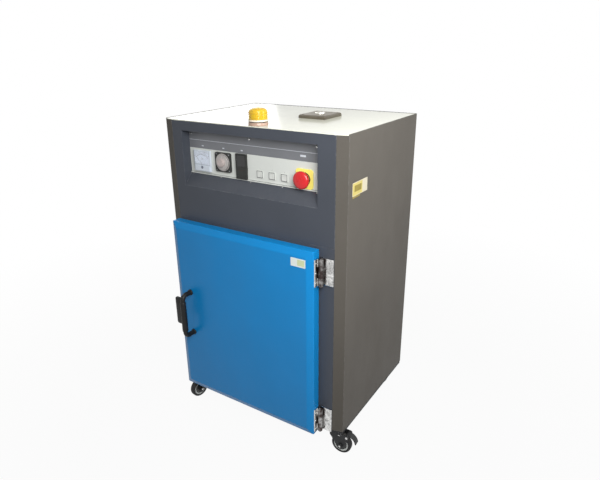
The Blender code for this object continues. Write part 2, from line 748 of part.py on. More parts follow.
def build_hinge(name, low, parts, helpers):
    """One butt hinge: the frame leaf carries the middle knuckle and the pin, the door leaf the ends."""
    high = low + HINGE_HEIGHT
    middle = (low + high) / 2
    mid_low = middle - MIDDLE_KNUCKLE / 2
    mid_high = middle + MIDDLE_KNUCKLE / 2
    centre = (HINGE_X, HINGE_Y, 0)
    bore = PIN_RADIUS + RUNNING

    leaf_x = (HINGE_X + FRAME_LEAF_OFFSET, HINGE_X + FRAME_LEAF_OFFSET + FRAME_LEAF_WIDTH)
    leaf_y = (FRONT - GAP - FRAME_LEAF_THICKNESS, FRONT - GAP)
    frame = box(f"hinge_frame_{name}", leaf_x, leaf_y, (low, high), parts, "chrome")
    soften(frame, FRAME_LEAF_ROUND, 2)
    web = box(
        f"frame_web_{name}",
        (HINGE_X - FRAME_WEB_HALF_WIDTH, HINGE_X + FRAME_WEB_HALF_WIDTH),
        (HINGE_Y + FRAME_WEB_FROM_AXIS, leaf_y[0] + FRAME_LEAF_THICKNESS / 2),
        (mid_low, mid_high),
        helpers,
    )
    fuse(frame, web)
    knuckle = turned(
        f"frame_knuckle_{name}",
        [(0, mid_low), (KNUCKLE_RADIUS, mid_low), (KNUCKLE_RADIUS, mid_high), (0, mid_high)],
        centre,
        "Z",
        helpers,
        steps=SMALL_STEPS,
    )
    fuse(frame, knuckle)
    pin_low = low - KNUCKLE_CLEARANCE
    pin_high = high + KNUCKLE_CLEARANCE
    pin = turned(
        f"pin_{name}",
        [
            (0, pin_low - PIN_CAP_HEIGHT),
            (PIN_CAP_RADIUS, pin_low - PIN_CAP_HEIGHT),
            (PIN_CAP_RADIUS, pin_low),
            (PIN_RADIUS, pin_low),
            (PIN_RADIUS, pin_high),
            (PIN_CAP_RADIUS, pin_high),
            (PIN_CAP_RADIUS, pin_high + PIN_CAP_HEIGHT),
            (0, pin_high + PIN_CAP_HEIGHT),
        ],
        centre,
        "Z",
        helpers,
        steps=SMALL_STEPS,
    )
    fuse(frame, pin)

    axis = (HINGE_X, HINGE_Y, low)
    door_x = (DOOR_RIGHT + GAP, DOOR_RIGHT + GAP + DOOR_LEAF_THICKNESS)
    door_y = (DOOR_SHOULDER + DOOR_LEAF_FROM_BACK, DOOR_BACK - DOOR_LEAF_FROM_BACK)
    leaf = box(f"hinge_door_{name}", door_x, door_y, (low, high), parts, "chrome", axis)
    spans = ((low, mid_low - KNUCKLE_CLEARANCE), (mid_high + KNUCKLE_CLEARANCE, high))
    for end, (z0, z1) in zip(("lower", "upper"), spans):
        web = box(
            f"door_web_{name}_{end}",
            (door_x[0] + DOOR_LEAF_THICKNESS / 2, HINGE_X),
            (HINGE_Y - DOOR_WEB_HALF_THICKNESS, HINGE_Y + DOOR_WEB_HALF_THICKNESS),
            (z0, z1),
            helpers,
        )
        fuse(leaf, web)
        barrel = turned(
            f"door_knuckle_{name}_{end}",
            [(0, z0), (KNUCKLE_RADIUS, z0), (KNUCKLE_RADIUS, z1), (0, z1)],
            centre,
            "Z",
            helpers,
            steps=SMALL_STEPS,
        )
        fuse(leaf, barrel)
    past = PIN_CAP_HEIGHT
    outline = [(0, low - past), (bore, low - past), (bore, high + past), (0, high + past)]
    clearance_bore = turned(f"door_bore_{name}", outline, centre, "Z", helpers, steps=SMALL_STEPS)
    cut(leaf, clearance_bore)
    room = KNUCKLE_RADIUS + KNUCKLE_CLEARANCE
    room_low = mid_low - KNUCKLE_CLEARANCE
    room_high = mid_high + KNUCKLE_CLEARANCE
    outline = [(0, room_low), (room, room_low), (room, room_high), (0, room_high)]
    middle_room = turned(f"door_middle_{name}", outline, centre, "Z", helpers, steps=SMALL_STEPS)
    cut(leaf, middle_room)


def bent_bar(x, points, bend, radius):
    """A round bar in the plane at x, along straight runs between the (y, z) points, with a bend of the
    given radius at each."""
    start = Vector(points[0])
    route = [(start, (Vector(points[1]) - start).normalized())]
    for before, at, after in zip(points, points[1:], points[2:]):
        corner = Vector(at)
        onward = (corner - Vector(before)).normalized()
        leaving = (Vector(after) - corner).normalized()
        turn = onward.angle(leaving)
        side = (leaving - onward * onward.dot(leaving)).normalized()
        first = corner - onward * bend * math.tan(turn / 2)
        for step in range(BEND_STEPS + 1):
            angle = turn * step / BEND_STEPS
            at = first + bend * (onward * math.sin(angle) + side * (1 - math.cos(angle)))
            route.append((at, onward * math.cos(angle) + side * math.sin(angle)))
    end = Vector(points[-1])
    route.append((end, (end - Vector(points[-2])).normalized()))
    bm = bmesh.new()
    rings = []
    for at, along in route:
        ring = []
        for step in range(BAR_SIDES):
            angle = 2 * math.pi * (step + 0.5) / BAR_SIDES
            out = radius * math.sin(angle)
            point = (x + radius * math.cos(angle), at.x - along.y * out, at.y + along.x * out)
            ring.append(bm.verts.new(point))
        rings.append(ring)
    bm.faces.new(rings[0])
    bm.faces.new(rings[-1])
    for low, high in zip(rings, rings[1:]):
        for i in range(BAR_SIDES):
            j = (i + 1) % BAR_SIDES
            bm.faces.new((low[i], low[j], high[j], high[i]))
    return bm


def build_handle(parts, helpers):
    """The black pull: two feet, a bent bar, a thicker grip and the paddle beside it."""
    axis = (HINGE_X, HINGE_Y, DOOR_BOTTOM)
    x = DOOR_LEFT + HANDLE_FROM_DOOR_EDGE
    low = DOOR_BOTTOM + HANDLE_LOWER_FOOT
    high = low + HANDLE_SPACING
    face = DOOR_FACE - GAP
    out = DOOR_FACE - HANDLE_REACH
    sunk = face - HANDLE_FOOT_SUNK
    points = [(sunk, high), (out, high), (out, low), (sunk, low)]
    bar = bent_bar(x, points, HANDLE_BEND_RADIUS, HANDLE_BAR_RADIUS)
    handle = object_from("door_handle", bar, parts, "handle_black", axis)
    for end, z in (("lower", low), ("upper", high)):
        foot = turned(
            f"handle_foot_{end}",
            [
                (0, face),
                (HANDLE_FOOT_RADIUS, face),
                (HANDLE_FOOT_RADIUS, face - HANDLE_FOOT_THICKNESS / 2),
                (HANDLE_FOOT_NECK, face - HANDLE_FOOT_THICKNESS),
                (0, face - HANDLE_FOOT_THICKNESS),
            ],
            (x, 0, z),
            "Y",
            helpers,
        )
        fuse(handle, foot)
    grip_low = low + HANDLE_BEND_RADIUS + HANDLE_GRIP_FROM_BEND
    grip_high = high - HANDLE_BEND_RADIUS - HANDLE_GRIP_FROM_BEND
    taper = HANDLE_GRIP_RADIUS - HANDLE_BAR_RADIUS
    grip = turned(
        "handle_grip",
        [
            (0, grip_low),
            (HANDLE_BAR_RADIUS - taper, grip_low),
            (HANDLE_GRIP_RADIUS, grip_low + 2 * taper),
            (HANDLE_GRIP_RADIUS, grip_high - 2 * taper),
            (HANDLE_BAR_RADIUS - taper, grip_high),
            (0, grip_high),
        ],
        (x, out, 0),
        "Z",
        helpers,
    )
    fuse(handle, grip)
    across = (x - HANDLE_GRIP_RADIUS - PADDLE_WIDTH, x)
    top = high - PADDLE_BELOW_BEND
    outline = rounded_rectangle(across, (top - PADDLE_HEIGHT, top), PADDLE_CORNER)
    half = PADDLE_THICKNESS / 2
    paddle = prism("handle_paddle", outline, out - half, out + half, "Y", helpers)
    fuse(handle, paddle)


def build_panel(parts, helpers):
    """The grey band and the light plate below it, with its lip and the buttons' frames."""
    back = PANEL_FACE + PANEL_THICKNESS
    across = (PANEL_LEFT, PANEL_RIGHT)
    box("panel_band", across, (PANEL_FACE, back), (PLATE_TOP + GAP, PANEL_TOP), parts, "band_grey")
    plate = box("panel_plate", across, (PANEL_FACE, back), (PANEL_BOTTOM, PLATE_TOP), parts, "panel_grey")
    lip = box(
        "panel_lip",
        across,
        (PANEL_FACE - LIP_REACH, PANEL_FACE + PANEL_THICKNESS / 2),
        (PANEL_BOTTOM, PANEL_BOTTOM + LIP_HEIGHT),
        helpers,
    )
    fuse(plate, lip)
    for index in range(BUTTON_COUNT):
        x, z = button_corner(index)
        frame = box(
            f"button_frame_{index + 1}",
            (x, x + BUTTON_FRAME_WIDTH),
            (PANEL_FACE - BUTTON_FRAME_RAISE, PANEL_FACE + PANEL_THICKNESS / 2),
            (z, z + BUTTON_FRAME_HEIGHT),
            helpers,
        )
        fuse(plate, frame)
        pocket = box(
            f"button_pocket_{index + 1}",
            (x + BUTTON_FRAME_WALL, x + BUTTON_FRAME_WIDTH - BUTTON_FRAME_WALL),
            (PANEL_FACE - BUTTON_FRAME_RAISE * 2, PANEL_FACE - BUTTON_FRAME_RAISE + BUTTON_POCKET_DEPTH),
            (z + BUTTON_FRAME_WALL, z + BUTTON_FRAME_HEIGHT - BUTTON_FRAME_WALL),
            helpers,
        )
        cut(plate, pocket)


def button_corner(index):
    return BUTTONS_LEFT + index * BUTTON_PITCH, PANEL_BOTTOM + BUTTON_BOTTOM


def build_buttons(parts):
    inset = BUTTON_FRAME_WALL + RUNNING
    front = PANEL_FACE - BUTTON_FRAME_RAISE - BUTTON_PROUD
    for index in range(BUTTON_COUNT):
        x, z = button_corner(index)
        across = (x + inset, x + BUTTON_FRAME_WIDTH - inset)
        upright = (z + inset, z + BUTTON_FRAME_HEIGHT - inset)
        origin = (sum(across) / 2, front, sum(upright) / 2)
        name = f"push_button_{index + 1}"
        box(name, across, (front, front + BUTTON_LENGTH), upright, parts, "button_grey", origin)


def build_instruments(parts, helpers):
    """The square meter, the timer with its dial and the tall controller."""
    face = PANEL_FACE - GAP
    x, z = METER_LEFT, PANEL_BOTTOM + METER_BOTTOM
    meter = box(
        "ammeter",
        (x, x + METER_SIZE),
        (face - METER_THICKNESS, face),
        (z, z + METER_SIZE),
        parts,
        "meter_clear",
    )
    soften(meter, METER_WINDOW_DEPTH, 2)
    window = box(
        "meter_window",
        (x + METER_BORDER, x + METER_SIZE - METER_BORDER),
        (face - METER_THICKNESS * 2, face - METER_THICKNESS + METER_WINDOW_DEPTH),
        (z + METER_SIZE - METER_BORDER - METER_WINDOW_HEIGHT, z + METER_SIZE - METER_BORDER),
        helpers,
    )
    cut(meter, window)

    x, z = TIMER_LEFT, PANEL_BOTTOM + TIMER_BOTTOM
    outline = rounded_rectangle((x, x + TIMER_SIZE), (z, z + TIMER_SIZE), TIMER_CORNER)
    timer = prism("timer_housing", outline, face - TIMER_THICKNESS, face, "Y", parts, "instrument_black")
    middle = (x + TIMER_SIZE / 2, 0, z + TIMER_SIZE / 2)
    front = face - TIMER_THICKNESS
    bore = DIAL_SHAFT_RADIUS + RUNNING
    floor = front + DIAL_SHAFT_LENGTH + RUNNING
    outside = front - TIMER_THICKNESS
    outline = [(0, outside), (bore, outside), (bore, floor), (0, floor)]
    shaft_bore = turned("timer_bore", outline, middle, "Y", helpers)
    cut(timer, shaft_bore)
    back = front - DIAL_CLEARANCE
    disc_front = back - DIAL_THICKNESS
    knob_front = disc_front - KNOB_LENGTH
    turned(
        "timer_dial",
        [
            (0, knob_front),
            (KNOB_RADIUS - KNOB_TAPER - DIAL_EDGE, knob_front),
            (KNOB_RADIUS - KNOB_TAPER, knob_front + DIAL_EDGE),
            (KNOB_RADIUS, disc_front),
            (DIAL_RADIUS - DIAL_EDGE, disc_front),
            (DIAL_RADIUS, disc_front + DIAL_EDGE),
            (DIAL_RADIUS, back),
            (DIAL_SHAFT_RADIUS, back),
            (DIAL_SHAFT_RADIUS, front + DIAL_SHAFT_LENGTH),
            (0, front + DIAL_SHAFT_LENGTH),
        ],
        middle,
        "Y",
        parts,
        "dial_grey",
        (middle[0], front, middle[2]),
    )

    x, z = CONTROLLER_LEFT, CONTROLLER_LOW
    controller = box(
        "controller",
        (x, x + CONTROLLER_WIDTH),
        (face - CONTROLLER_THICKNESS, face),
        (z, z + CONTROLLER_HEIGHT),
        parts,
        "instrument_black",
    )
    display_top = z + CONTROLLER_HEIGHT - CONTROLLER_BORDER
    display = box(
        "controller_display",
        (x + CONTROLLER_BORDER, x + CONTROLLER_WIDTH - CONTROLLER_BORDER),
        (face - CONTROLLER_THICKNESS * 2, face - CONTROLLER_THICKNESS + DISPLAY_DEPTH),
        (display_top - DISPLAY_HEIGHT, display_top),
        helpers,
    )
    cut(controller, display)


def build_stop_button(parts, helpers):
    """The yellow plate with its collar and the red mushroom head."""
    face = PANEL_FACE - GAP
    half = STOP_PLATE_SIZE / 2
    x, z = STOP_CENTRE, PANEL_BOTTOM + STOP_PLATE_BOTTOM + half
    front = face - STOP_PLATE_THICKNESS
    outline = rounded_rectangle((x - half, x + half), (z - half, z + half), STOP_PLATE_CORNER)
    plate = prism("stop_plate", outline, front, face, "Y", parts, "signal_yellow")
    collar_front = front - STOP_COLLAR_HEIGHT
    inside = front + STOP_PLATE_THICKNESS / 2
    collar = turned(
        "stop_collar",
        [(0, collar_front), (STOP_COLLAR_RADIUS, collar_front), (STOP_COLLAR_RADIUS, inside), (0, inside)],
        (x, 0, z),
        "Y",
        helpers,
    )
    fuse(plate, collar)
    bore = STOP_STEM_RADIUS + RUNNING
    floor = collar_front + STOP_BORE_DEPTH
    outside = collar_front - STOP_COLLAR_HEIGHT
    outline = [(0, outside), (bore, outside), (bore, floor), (0, floor)]
    hole = turned("stop_bore", outline, (x, 0, z), "Y", helpers)
    cut(plate, hole)
    stem_end = collar_front + STOP_STEM_ENGAGED
    head_back = collar_front - STOP_HEAD_GAP
    shoulder = head_back - STOP_HEAD_RIM
    profile = [(0, shoulder - STOP_HEAD_DOME)]
    for step in range(1, BEND_STEPS + 1):
        angle = math.pi / 2 * step / BEND_STEPS
        profile.append((STOP_HEAD_RADIUS * math.sin(angle), shoulder - STOP_HEAD_DOME * math.cos(angle)))
    profile += [
        (STOP_HEAD_RADIUS, head_back),
        (STOP_STEM_RADIUS, head_back),
        (STOP_STEM_RADIUS, stem_end),
        (0, stem_end),
    ]
    turned("stop_head", profile, (x, 0, z), "Y", parts, "signal_red", (x, head_back, z))


def build_beacon(parts):
    """The warning lamp at the front edge of the top: a grooved base and a ribbed lens."""
    centre = (BEACON_RIGHT_OF_CENTRE, FRONT + BEACON_FROM_FRONT, 0)
    low = TOP_FACE + GAP
    groove_low = low + BEACON_FOOT_HEIGHT
    groove_high = groove_low + BEACON_GROOVE_HEIGHT
    high = groove_high + BEACON_COLLAR_HEIGHT
    waist = BEACON_RADIUS - BEACON_RIB_DEPTH
    profile = [
        (0, low),
        (BEACON_RADIUS, low),
        (BEACON_RADIUS, groove_low),
        (waist, groove_low + BEACON_RIB_DEPTH),
        (waist, groove_high - BEACON_RIB_DEPTH),
        (BEACON_RADIUS, groove_high),
        (BEACON_RADIUS, high),
        (0, high),
    ]
    turned("beacon_base", profile, centre, "Z", parts, "beacon_cream", steps=BEACON_STEPS)

    low = high + GAP
    valley = waist - BEACON_RIB_DEPTH
    profile = [(0, low)]
    for rib in range(BEACON_RIB_COUNT):
        z = low + rib * BEACON_RIB_PITCH
        crest_top = z + BEACON_RIB_PITCH - 2 * BEACON_RIB_DEPTH
        profile += [(waist, z), (waist, crest_top), (valley, crest_top + BEACON_RIB_DEPTH)]
    dome_low = low + BEACON_RIB_COUNT * BEACON_RIB_PITCH
    for step in range(BEND_STEPS):
        angle = math.pi / 2 * step / BEND_STEPS
        profile.append((valley * math.cos(angle), dome_low + BEACON_DOME_HEIGHT * math.sin(angle)))
    profile.append((0, dome_low + BEACON_DOME_HEIGHT))
    turned("beacon_lens", profile, centre, "Z", parts, "beacon_yellow", steps=BEACON_STEPS)


def build_vent(parts, helpers):
    """The low vent box on the top with its round disc."""
    x = (VENT_RIGHT_OF_CENTRE - VENT_WIDTH / 2, VENT_RIGHT_OF_CENTRE + VENT_WIDTH / 2)
    y = (VENT_BEHIND_CENTRE - VENT_DEPTH / 2, VENT_BEHIND_CENTRE + VENT_DEPTH / 2)
    low = TOP_FACE + GAP
    high = low + VENT_HEIGHT
    bm = bmesh.new()
    rings = []
    for z, inset in ((low, 0), (high - VENT_CHAMFER, 0), (high, VENT_CHAMFER)):
        corners = (
            (x[0] + inset, y[0] + inset),
            (x[1] - inset, y[0] + inset),
            (x[1] - inset, y[1] - inset),
            (x[0] + inset, y[1] - inset),
        )
        rings.append([bm.verts.new((u, v, z)) for u, v in corners])
    bm.faces.new(rings[0])
    bm.faces.new(rings[2])
    for lower, upper in zip(rings, rings[1:]):
        for i in range(4):
            j = (i + 1) % 4
            bm.faces.new((lower[i], lower[j], upper[j], upper[i]))
    vent = object_from("vent_box", bm, parts, "vent_metal")
    disc_top = high + VENT_DISC_HEIGHT
    disc = turned(
        "vent_disc",
        [
            (0, high - VENT_CHAMFER),
            (VENT_DISC_RADIUS, high - VENT_CHAMFER),
            (VENT_DISC_RADIUS, disc_top - VENT_DISC_EDGE),
            (VENT_DISC_RADIUS - VENT_DISC_EDGE, disc_top),
            (0, disc_top),
        ],
        (sum(x) / 2, sum(y) / 2, 0),
        "Z",
        helpers,
    )
    fuse(vent, disc)


def turn_about(obj, x, y, degrees):
    """Turns an object made at the swivel point of a caster, about that point's vertical axis."""
    swivel = Matrix.Translation((x, y, 0)) @ Matrix.Rotation(math.radians(degrees), 4, "Z")
    obj.matrix_world = swivel @ obj.matrix_basis


def build_caster(name, x, y, turn, braked, parts, helpers):
    """One caster, made with its swivel at the origin and its trail along +X, then turned into place."""
    made = []
    head_low = FORK_TOP - FORK_HEAD_HEIGHT
    inner = WHEEL_WIDTH / 2 + FORK_GAP
    outer = inner + FORK_PLATE
    circles = [
        (0, head_low + FORK_CROWN - FORK_END_RADIUS, FORK_END_RADIUS),
        (TRAIL, WHEEL_RADIUS, FORK_END_RADIUS),
    ]
    if braked:
        circles.append((PEDAL_PIVOT_OUT, PEDAL_PIVOT_HEIGHT, PEDAL_EAR_RADIUS))
    leg_shape = hull_of_circles(circles)
    fork = turned(
        f"fork_{name}",
        [
            (0, head_low),
            (FORK_HEAD_LOW_RADIUS, head_low),
            (FORK_HEAD_RADIUS, head_low + FORK_HEAD_LOW_ROUND),
            (FORK_HEAD_RADIUS, FORK_TOP - FORK_HEAD_TOP_ROUND),
            (FORK_HEAD_TOP_RADIUS, FORK_TOP),
            (0, FORK_TOP),
        ],
        (0, 0, 0),
        "Z",
        parts,
        "caster_steel",
    )
    made.append(fork)
    crown = box(
        f"fork_crown_{name}",
        (-FORK_CROWN_BEHIND, TRAIL),
        (-outer, outer),
        (head_low, head_low + FORK_CROWN),
        helpers,
    )
    made.append(crown)
    fuse(fork, crown)
    for side, low, high in (("near", -outer, -inner), ("far", inner, outer)):
        leg = prism(f"fork_leg_{name}_{side}", leg_shape, low, high, "Y", helpers)
        made.append(leg)
        fuse(fork, leg)
    nut = outer + AXLE_NUT_HEIGHT
    axle = turned(
        f"axle_{name}",
        [
            (0, -nut),
            (AXLE_NUT_RADIUS, -nut),
            (AXLE_NUT_RADIUS, -outer + FORK_PLATE / 2),
            (AXLE_RADIUS, -outer + FORK_PLATE / 2),
            (AXLE_RADIUS, outer - FORK_PLATE / 2),
            (AXLE_NUT_RADIUS, outer - FORK_PLATE / 2),
            (AXLE_NUT_RADIUS, nut),
            (0, nut),
        ],
        (TRAIL, 0, WHEEL_RADIUS),
        "Y",
        helpers,
        steps=PIN_STEPS,
    )
    made.append(axle)
    fuse(fork, axle)
    bore = KINGPIN_RADIUS + RUNNING
    bore_low = FORK_TOP + GAP - KINGPIN_LENGTH - RUNNING
    outline = [(0, bore_low), (bore, bore_low), (bore, BOTTOM), (0, BOTTOM)]
    kingpin_bore = turned(f"kingpin_bore_{name}", outline, (0, 0, 0), "Z", helpers, steps=PIN_STEPS)
    made.append(kingpin_bore)
    cut(fork, kingpin_bore)

    half = WHEEL_WIDTH / 2
    profile = [
        (AXLE_RADIUS + RUNNING, -half - HUB_PROUD),
        (HUB_RADIUS, -half - HUB_PROUD),
        (HUB_RADIUS, -half + WHEEL_DISH),
        (WHEEL_RIM_RADIUS, -half + WHEEL_DISH),
        (WHEEL_RIM_RADIUS, -half),
        (WHEEL_RADIUS - WHEEL_SHOULDER, -half),
        (WHEEL_RADIUS - WHEEL_SHOULDER_FLAT, -half + WHEEL_SHOULDER_FLAT),
        (WHEEL_RADIUS, -half + WHEEL_SHOULDER),
    ]
    profile += [(radius, -height) for radius, height in reversed(profile)]
    centre = (TRAIL, 0, WHEEL_RADIUS)
    wheel = turned(f"wheel_{name}", profile, centre, "Y", parts, "caster_tyre", centre, WHEEL_STEPS)
    made.append(wheel)
    if braked:
        made += build_pedal(name, fork, inner, outer, parts, helpers)
    for obj in made:
        turn_about(obj, x, y, turn)


def build_pedal(name, fork, inner, outer, parts, helpers):
    """The brake pedal: a barrel on a pin between the fork's legs and a bent tread."""
    pivot = (PEDAL_PIVOT_OUT, 0, PEDAL_PIVOT_HEIGHT)
    pin = turned(
        f"pedal_pin_{name}",
        [
            (0, -outer + FORK_PLATE / 2),
            (PEDAL_PIN_RADIUS, -outer + FORK_PLATE / 2),
            (PEDAL_PIN_RADIUS, outer - FORK_PLATE / 2),
            (0, outer - FORK_PLATE / 2),
        ],
        pivot,
        "Y",
        helpers,
        steps=PIN_STEPS,
    )
    fuse(fork, pin)
    half = inner - PEDAL_SIDE_ROOM
    barrel = [(0, -half), (PEDAL_BARREL_RADIUS, -half), (PEDAL_BARREL_RADIUS, half), (0, half)]
    pedal = turned(f"pedal_{name}", barrel, pivot, "Y", parts, "caster_steel", pivot)
    arc_centre = (PEDAL_PIVOT_OUT, PEDAL_PIVOT_HEIGHT + PEDAL_BARREL_RADIUS - PEDAL_ARC_RADIUS)
    outer_arc = arc_points(arc_centre, PEDAL_ARC_RADIUS, PEDAL_ARC_FROM, PEDAL_ARC_TO)
    inner_arc = arc_points(arc_centre, PEDAL_ARC_RADIUS - PEDAL_THICKNESS, PEDAL_ARC_TO, PEDAL_ARC_FROM)
    outline = outer_arc + inner_arc
    tread = prism(f"pedal_tread_{name}", outline, -PEDAL_WIDTH / 2, PEDAL_WIDTH / 2, "Y", helpers)
    fuse(pedal, tread)
    bore = PEDAL_PIN_RADIUS + RUNNING
    through = [(0, -outer), (bore, -outer), (bore, outer), (0, outer)]
    hole = turned(f"pedal_bore_{name}", through, pivot, "Y", helpers, steps=PIN_STEPS)
    cut(pedal, hole)
    return [pin, pedal, tread, hole]


def centre_on_floor(parts, helpers):
    """Moves everything so that the origin is the middle of the part's box, on the floor."""
    bpy.context.view_layer.update()
    graph = bpy.context.evaluated_depsgraph_get()
    corners = []
    for obj in parts.objects:
        seen = obj.evaluated_get(graph)
        corners += [seen.matrix_world @ Vector(corner) for corner in seen.bound_box]
    middle_x = (min(c.x for c in corners) + max(c.x for c in corners)) / 2
    middle_y = (min(c.y for c in corners) + max(c.y for c in corners)) / 2
    for obj in list(parts.objects) + list(helpers.objects):
        obj.location.x -= middle_x
        obj.location.y -= middle_y


def main():
    clear_scene()
    parts = new_collection("tray_cabinet_dryer")
    helpers = new_collection("cutters")
    build_base(parts, helpers)
    build_body(parts, helpers)
    build_liner(parts, helpers)
    build_racks(parts, helpers)
    build_trays(parts, helpers)
    build_door(parts, helpers)
    build_hinge("lower", DOOR_BOTTOM + LOWER_HINGE_FROM_DOOR_END, parts, helpers)
    build_hinge("upper", DOOR_TOP - HINGE_FROM_DOOR_END - HINGE_HEIGHT, parts, helpers)
    build_handle(parts, helpers)
    build_panel(parts, helpers)
    build_buttons(parts)
    build_instruments(parts, helpers)
    build_stop_button(parts, helpers)
    build_beacon(parts)
    build_vent(parts, helpers)
    for name, x, y, turn, braked in caster_places():
        build_caster(name, x, y, turn, braked, parts, helpers)
    centre_on_floor(parts, helpers)


main()
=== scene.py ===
"""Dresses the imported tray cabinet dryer: a finish for every solid, and the small pieces the solids leave out.

Every length is in metres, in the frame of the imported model.
"""
import json
import math

import bmesh
import bpy
import numpy as np
from mathutils import Matrix, Vector


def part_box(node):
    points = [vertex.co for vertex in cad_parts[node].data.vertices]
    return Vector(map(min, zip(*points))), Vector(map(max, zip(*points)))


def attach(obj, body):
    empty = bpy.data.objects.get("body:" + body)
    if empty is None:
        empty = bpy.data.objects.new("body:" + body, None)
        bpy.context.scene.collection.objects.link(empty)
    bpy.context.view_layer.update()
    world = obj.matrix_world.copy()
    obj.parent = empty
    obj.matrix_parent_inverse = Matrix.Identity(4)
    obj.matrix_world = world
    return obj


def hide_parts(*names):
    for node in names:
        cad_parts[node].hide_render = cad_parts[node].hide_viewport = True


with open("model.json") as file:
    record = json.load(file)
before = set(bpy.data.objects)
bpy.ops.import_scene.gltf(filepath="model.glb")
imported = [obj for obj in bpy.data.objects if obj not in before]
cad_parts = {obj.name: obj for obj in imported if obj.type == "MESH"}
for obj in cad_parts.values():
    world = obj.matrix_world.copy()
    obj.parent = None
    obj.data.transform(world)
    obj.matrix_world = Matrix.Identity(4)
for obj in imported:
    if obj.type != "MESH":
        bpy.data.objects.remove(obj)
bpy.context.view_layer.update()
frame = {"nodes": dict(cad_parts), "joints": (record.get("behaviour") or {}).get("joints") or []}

bl_info = {
    "name": "Tray cabinet dryer",
    "version": (1, 0, 0),
    "blender": (4, 5, 0),
    "location": "3D View > Sidebar > Dryer",
    "description": "Finishes and small pieces of a tray cabinet dryer",
    "category": "Object",
}

# How far a step up the sill runs back, and how far it rises.
SILL_RUN, SILL_RISE = 0.681, 0.732
# The three directions of each facing: its width, its height and the way it looks out.
FACING = {
    "front": ((1, 0, 0), (0, 0, 1), (0, -1, 0)),
    "back": ((-1, 0, 0), (0, 0, 1), (0, 1, 0)),
    "right": ((0, 1, 0), (0, 0, 1), (1, 0, 0)),
    "top": ((1, 0, 0), (0, 1, 0), (0, 0, 1)),
    "under": ((1, 0, 0), (0, -1, 0), (0, 0, -1)),
    "sill": ((1, 0, 0), (0, SILL_RUN, SILL_RISE), (0, -SILL_RISE, SILL_RUN)),
}
CASTERS = ("front_left", "front_right", "back_left", "back_right")
# How many points stand round a turned shape, and round a small one.
FINE, SMALL = 72, 48
# In degrees: edges that turn by more stay sharp, and a solid's edges that turn by more are eased.
CREASE, EASED = 32, 40
# The radius of a hinge's barrel.
KNUCKLE = 0.009
# The camera, the point that the lamps face, and each lamp's name, size and place.
CAMERA_AT = (1.0986, -1.63665, 1.5059)
LAMPS_FACE = (0, 0, 0.65)
LAMPS = (
    ("key", 0.9, (1.1, -1.2, 1.75)),
    ("fill", 2.4, (-2.6, 1.8, 2.2)),
    ("overhead", 3.0, (0.2, 0.8, 4.2)),
    ("side", 0.6, (1.1, 0.05, 1.5)),
)
# Half the width of the floor, and how many points stand along an edge of it.
FLOOR_REACH, FLOOR_POINTS = 40.0, 41


def tone(red, green, blue):
    """A colour given as a screen shows it, 0 to 255, as the linear colour that a shader takes."""
    shown = np.array((red, green, blue)) / 255
    linear = np.where(shown <= 0.04045, shown / 12.92, ((shown + 0.055) / 1.055) ** 2.4)
    return (*[float(value) for value in linear], 1.0)


def length(name, description, default):
    return bpy.props.FloatProperty(name=name, description=description, default=default, unit="LENGTH", precision=4)


def amount(name, description, default):
    return bpy.props.FloatProperty(name=name, description=description, default=default)


def colour(name, description, default):
    return bpy.props.FloatVectorProperty(
        name=name, description=description, default=default, size=4, min=0.0, max=1.0, subtype="COLOR"
    )


class DryerColours(bpy.types.PropertyGroup):
    """Colours of the paints, plastics and prints."""

    cabinet: colour("Cabinet paint", "Dark paint on the body", tone(72, 76, 84))
    # The sides' colour is the body's dark paint made lighter and browner, a painted reflection of the surroundings on
    # the sides.
    side: colour("Side paint", "Dark paint on the outer sides", tone(95, 91, 85))
    under: colour("Base paint", "Dark paint on the base frame", tone(38, 38, 40))
    door: colour("Door paint", "Blue paint on the door", tone(9, 132, 200))
    top: colour("Top paint", "Pale gloss paint on the top", tone(238, 239, 223))
    panel: colour("Panel paint", "Light grey plate of the panel", tone(210, 213, 208))
    band: colour("Band paint", "Mid grey band above the plate", tone(116, 118, 122))
    red: colour("Stop red", "Mushroom head", tone(206, 20, 28))
    yellow: colour("Stop yellow", "Plate behind the mushroom head", tone(252, 236, 120))
    lens: colour("Lens yellow", "Lens of the warning lamp", tone(228, 188, 30))
    cream: colour("Lamp collar", "Collar of the warning lamp", tone(244, 234, 212))
    foot: colour("Lamp foot", "Foot of the warning lamp", tone(176, 146, 128))
    print_light: colour("Pale print", "Line and marks on the band", tone(206, 210, 216))
    print_dark: colour("Dark print", "Scales, numbers and marks", tone(48, 50, 56))


class DryerSizes(bpy.types.PropertyGroup):
    """Sizes of the small pieces."""

    screw: length("Screw head", "Radius of a panel screw's head", 0.0034)
    hinge_screw: length("Hinge screw head", "Radius of a hinge screw's head", 0.0052)
    plate_bolt: length("Plate bolt", "Half the width across flats of a caster plate's bolt", 0.0065)
    line: length("Band line", "Height of the pale line on the band", 0.0013)
    print_depth: length("Print depth", "How far a print stands proud", 0.00025)
    label_depth: length("Label depth", "Thickness of a stuck plate", 0.0004)


class DryerStage(bpy.types.PropertyGroup):
    """Camera and light."""

    lens: bpy.props.FloatProperty(name="Lens", description="Focal length, mm", default=31.372)
    yaw: amount("Yaw", "Camera's turn to the left, degrees", 32.803)
    pitch: amount("Pitch", "Camera's tilt down, degrees", 20.862)
    roll: amount("Roll", "Camera's roll, degrees", 0.581)
    world: amount("World", "Strength of the even light", 0.20)
    key: amount("Key", "Power of the main lamp, W", 37.0)
    fill: amount("Fill", "Power of the lamp behind on the left, W", 30.0)
    overhead: amount("Overhead", "Power of the lamp above, W", 8.0)
    side: amount("Side", "Power of the lamp on the right, W", 7.0)


# Shapes


def angles_round(count):
    return 2 * np.pi * np.arange(count) / count


def polar(reach, angle):
    """A point at each angle: the reach there times the angle's cosine and sine."""
    return np.stack((reach * np.cos(angle), reach * np.sin(angle)), -1)


def circle(radius, count=FINE):
    return polar(radius, angles_round(count))


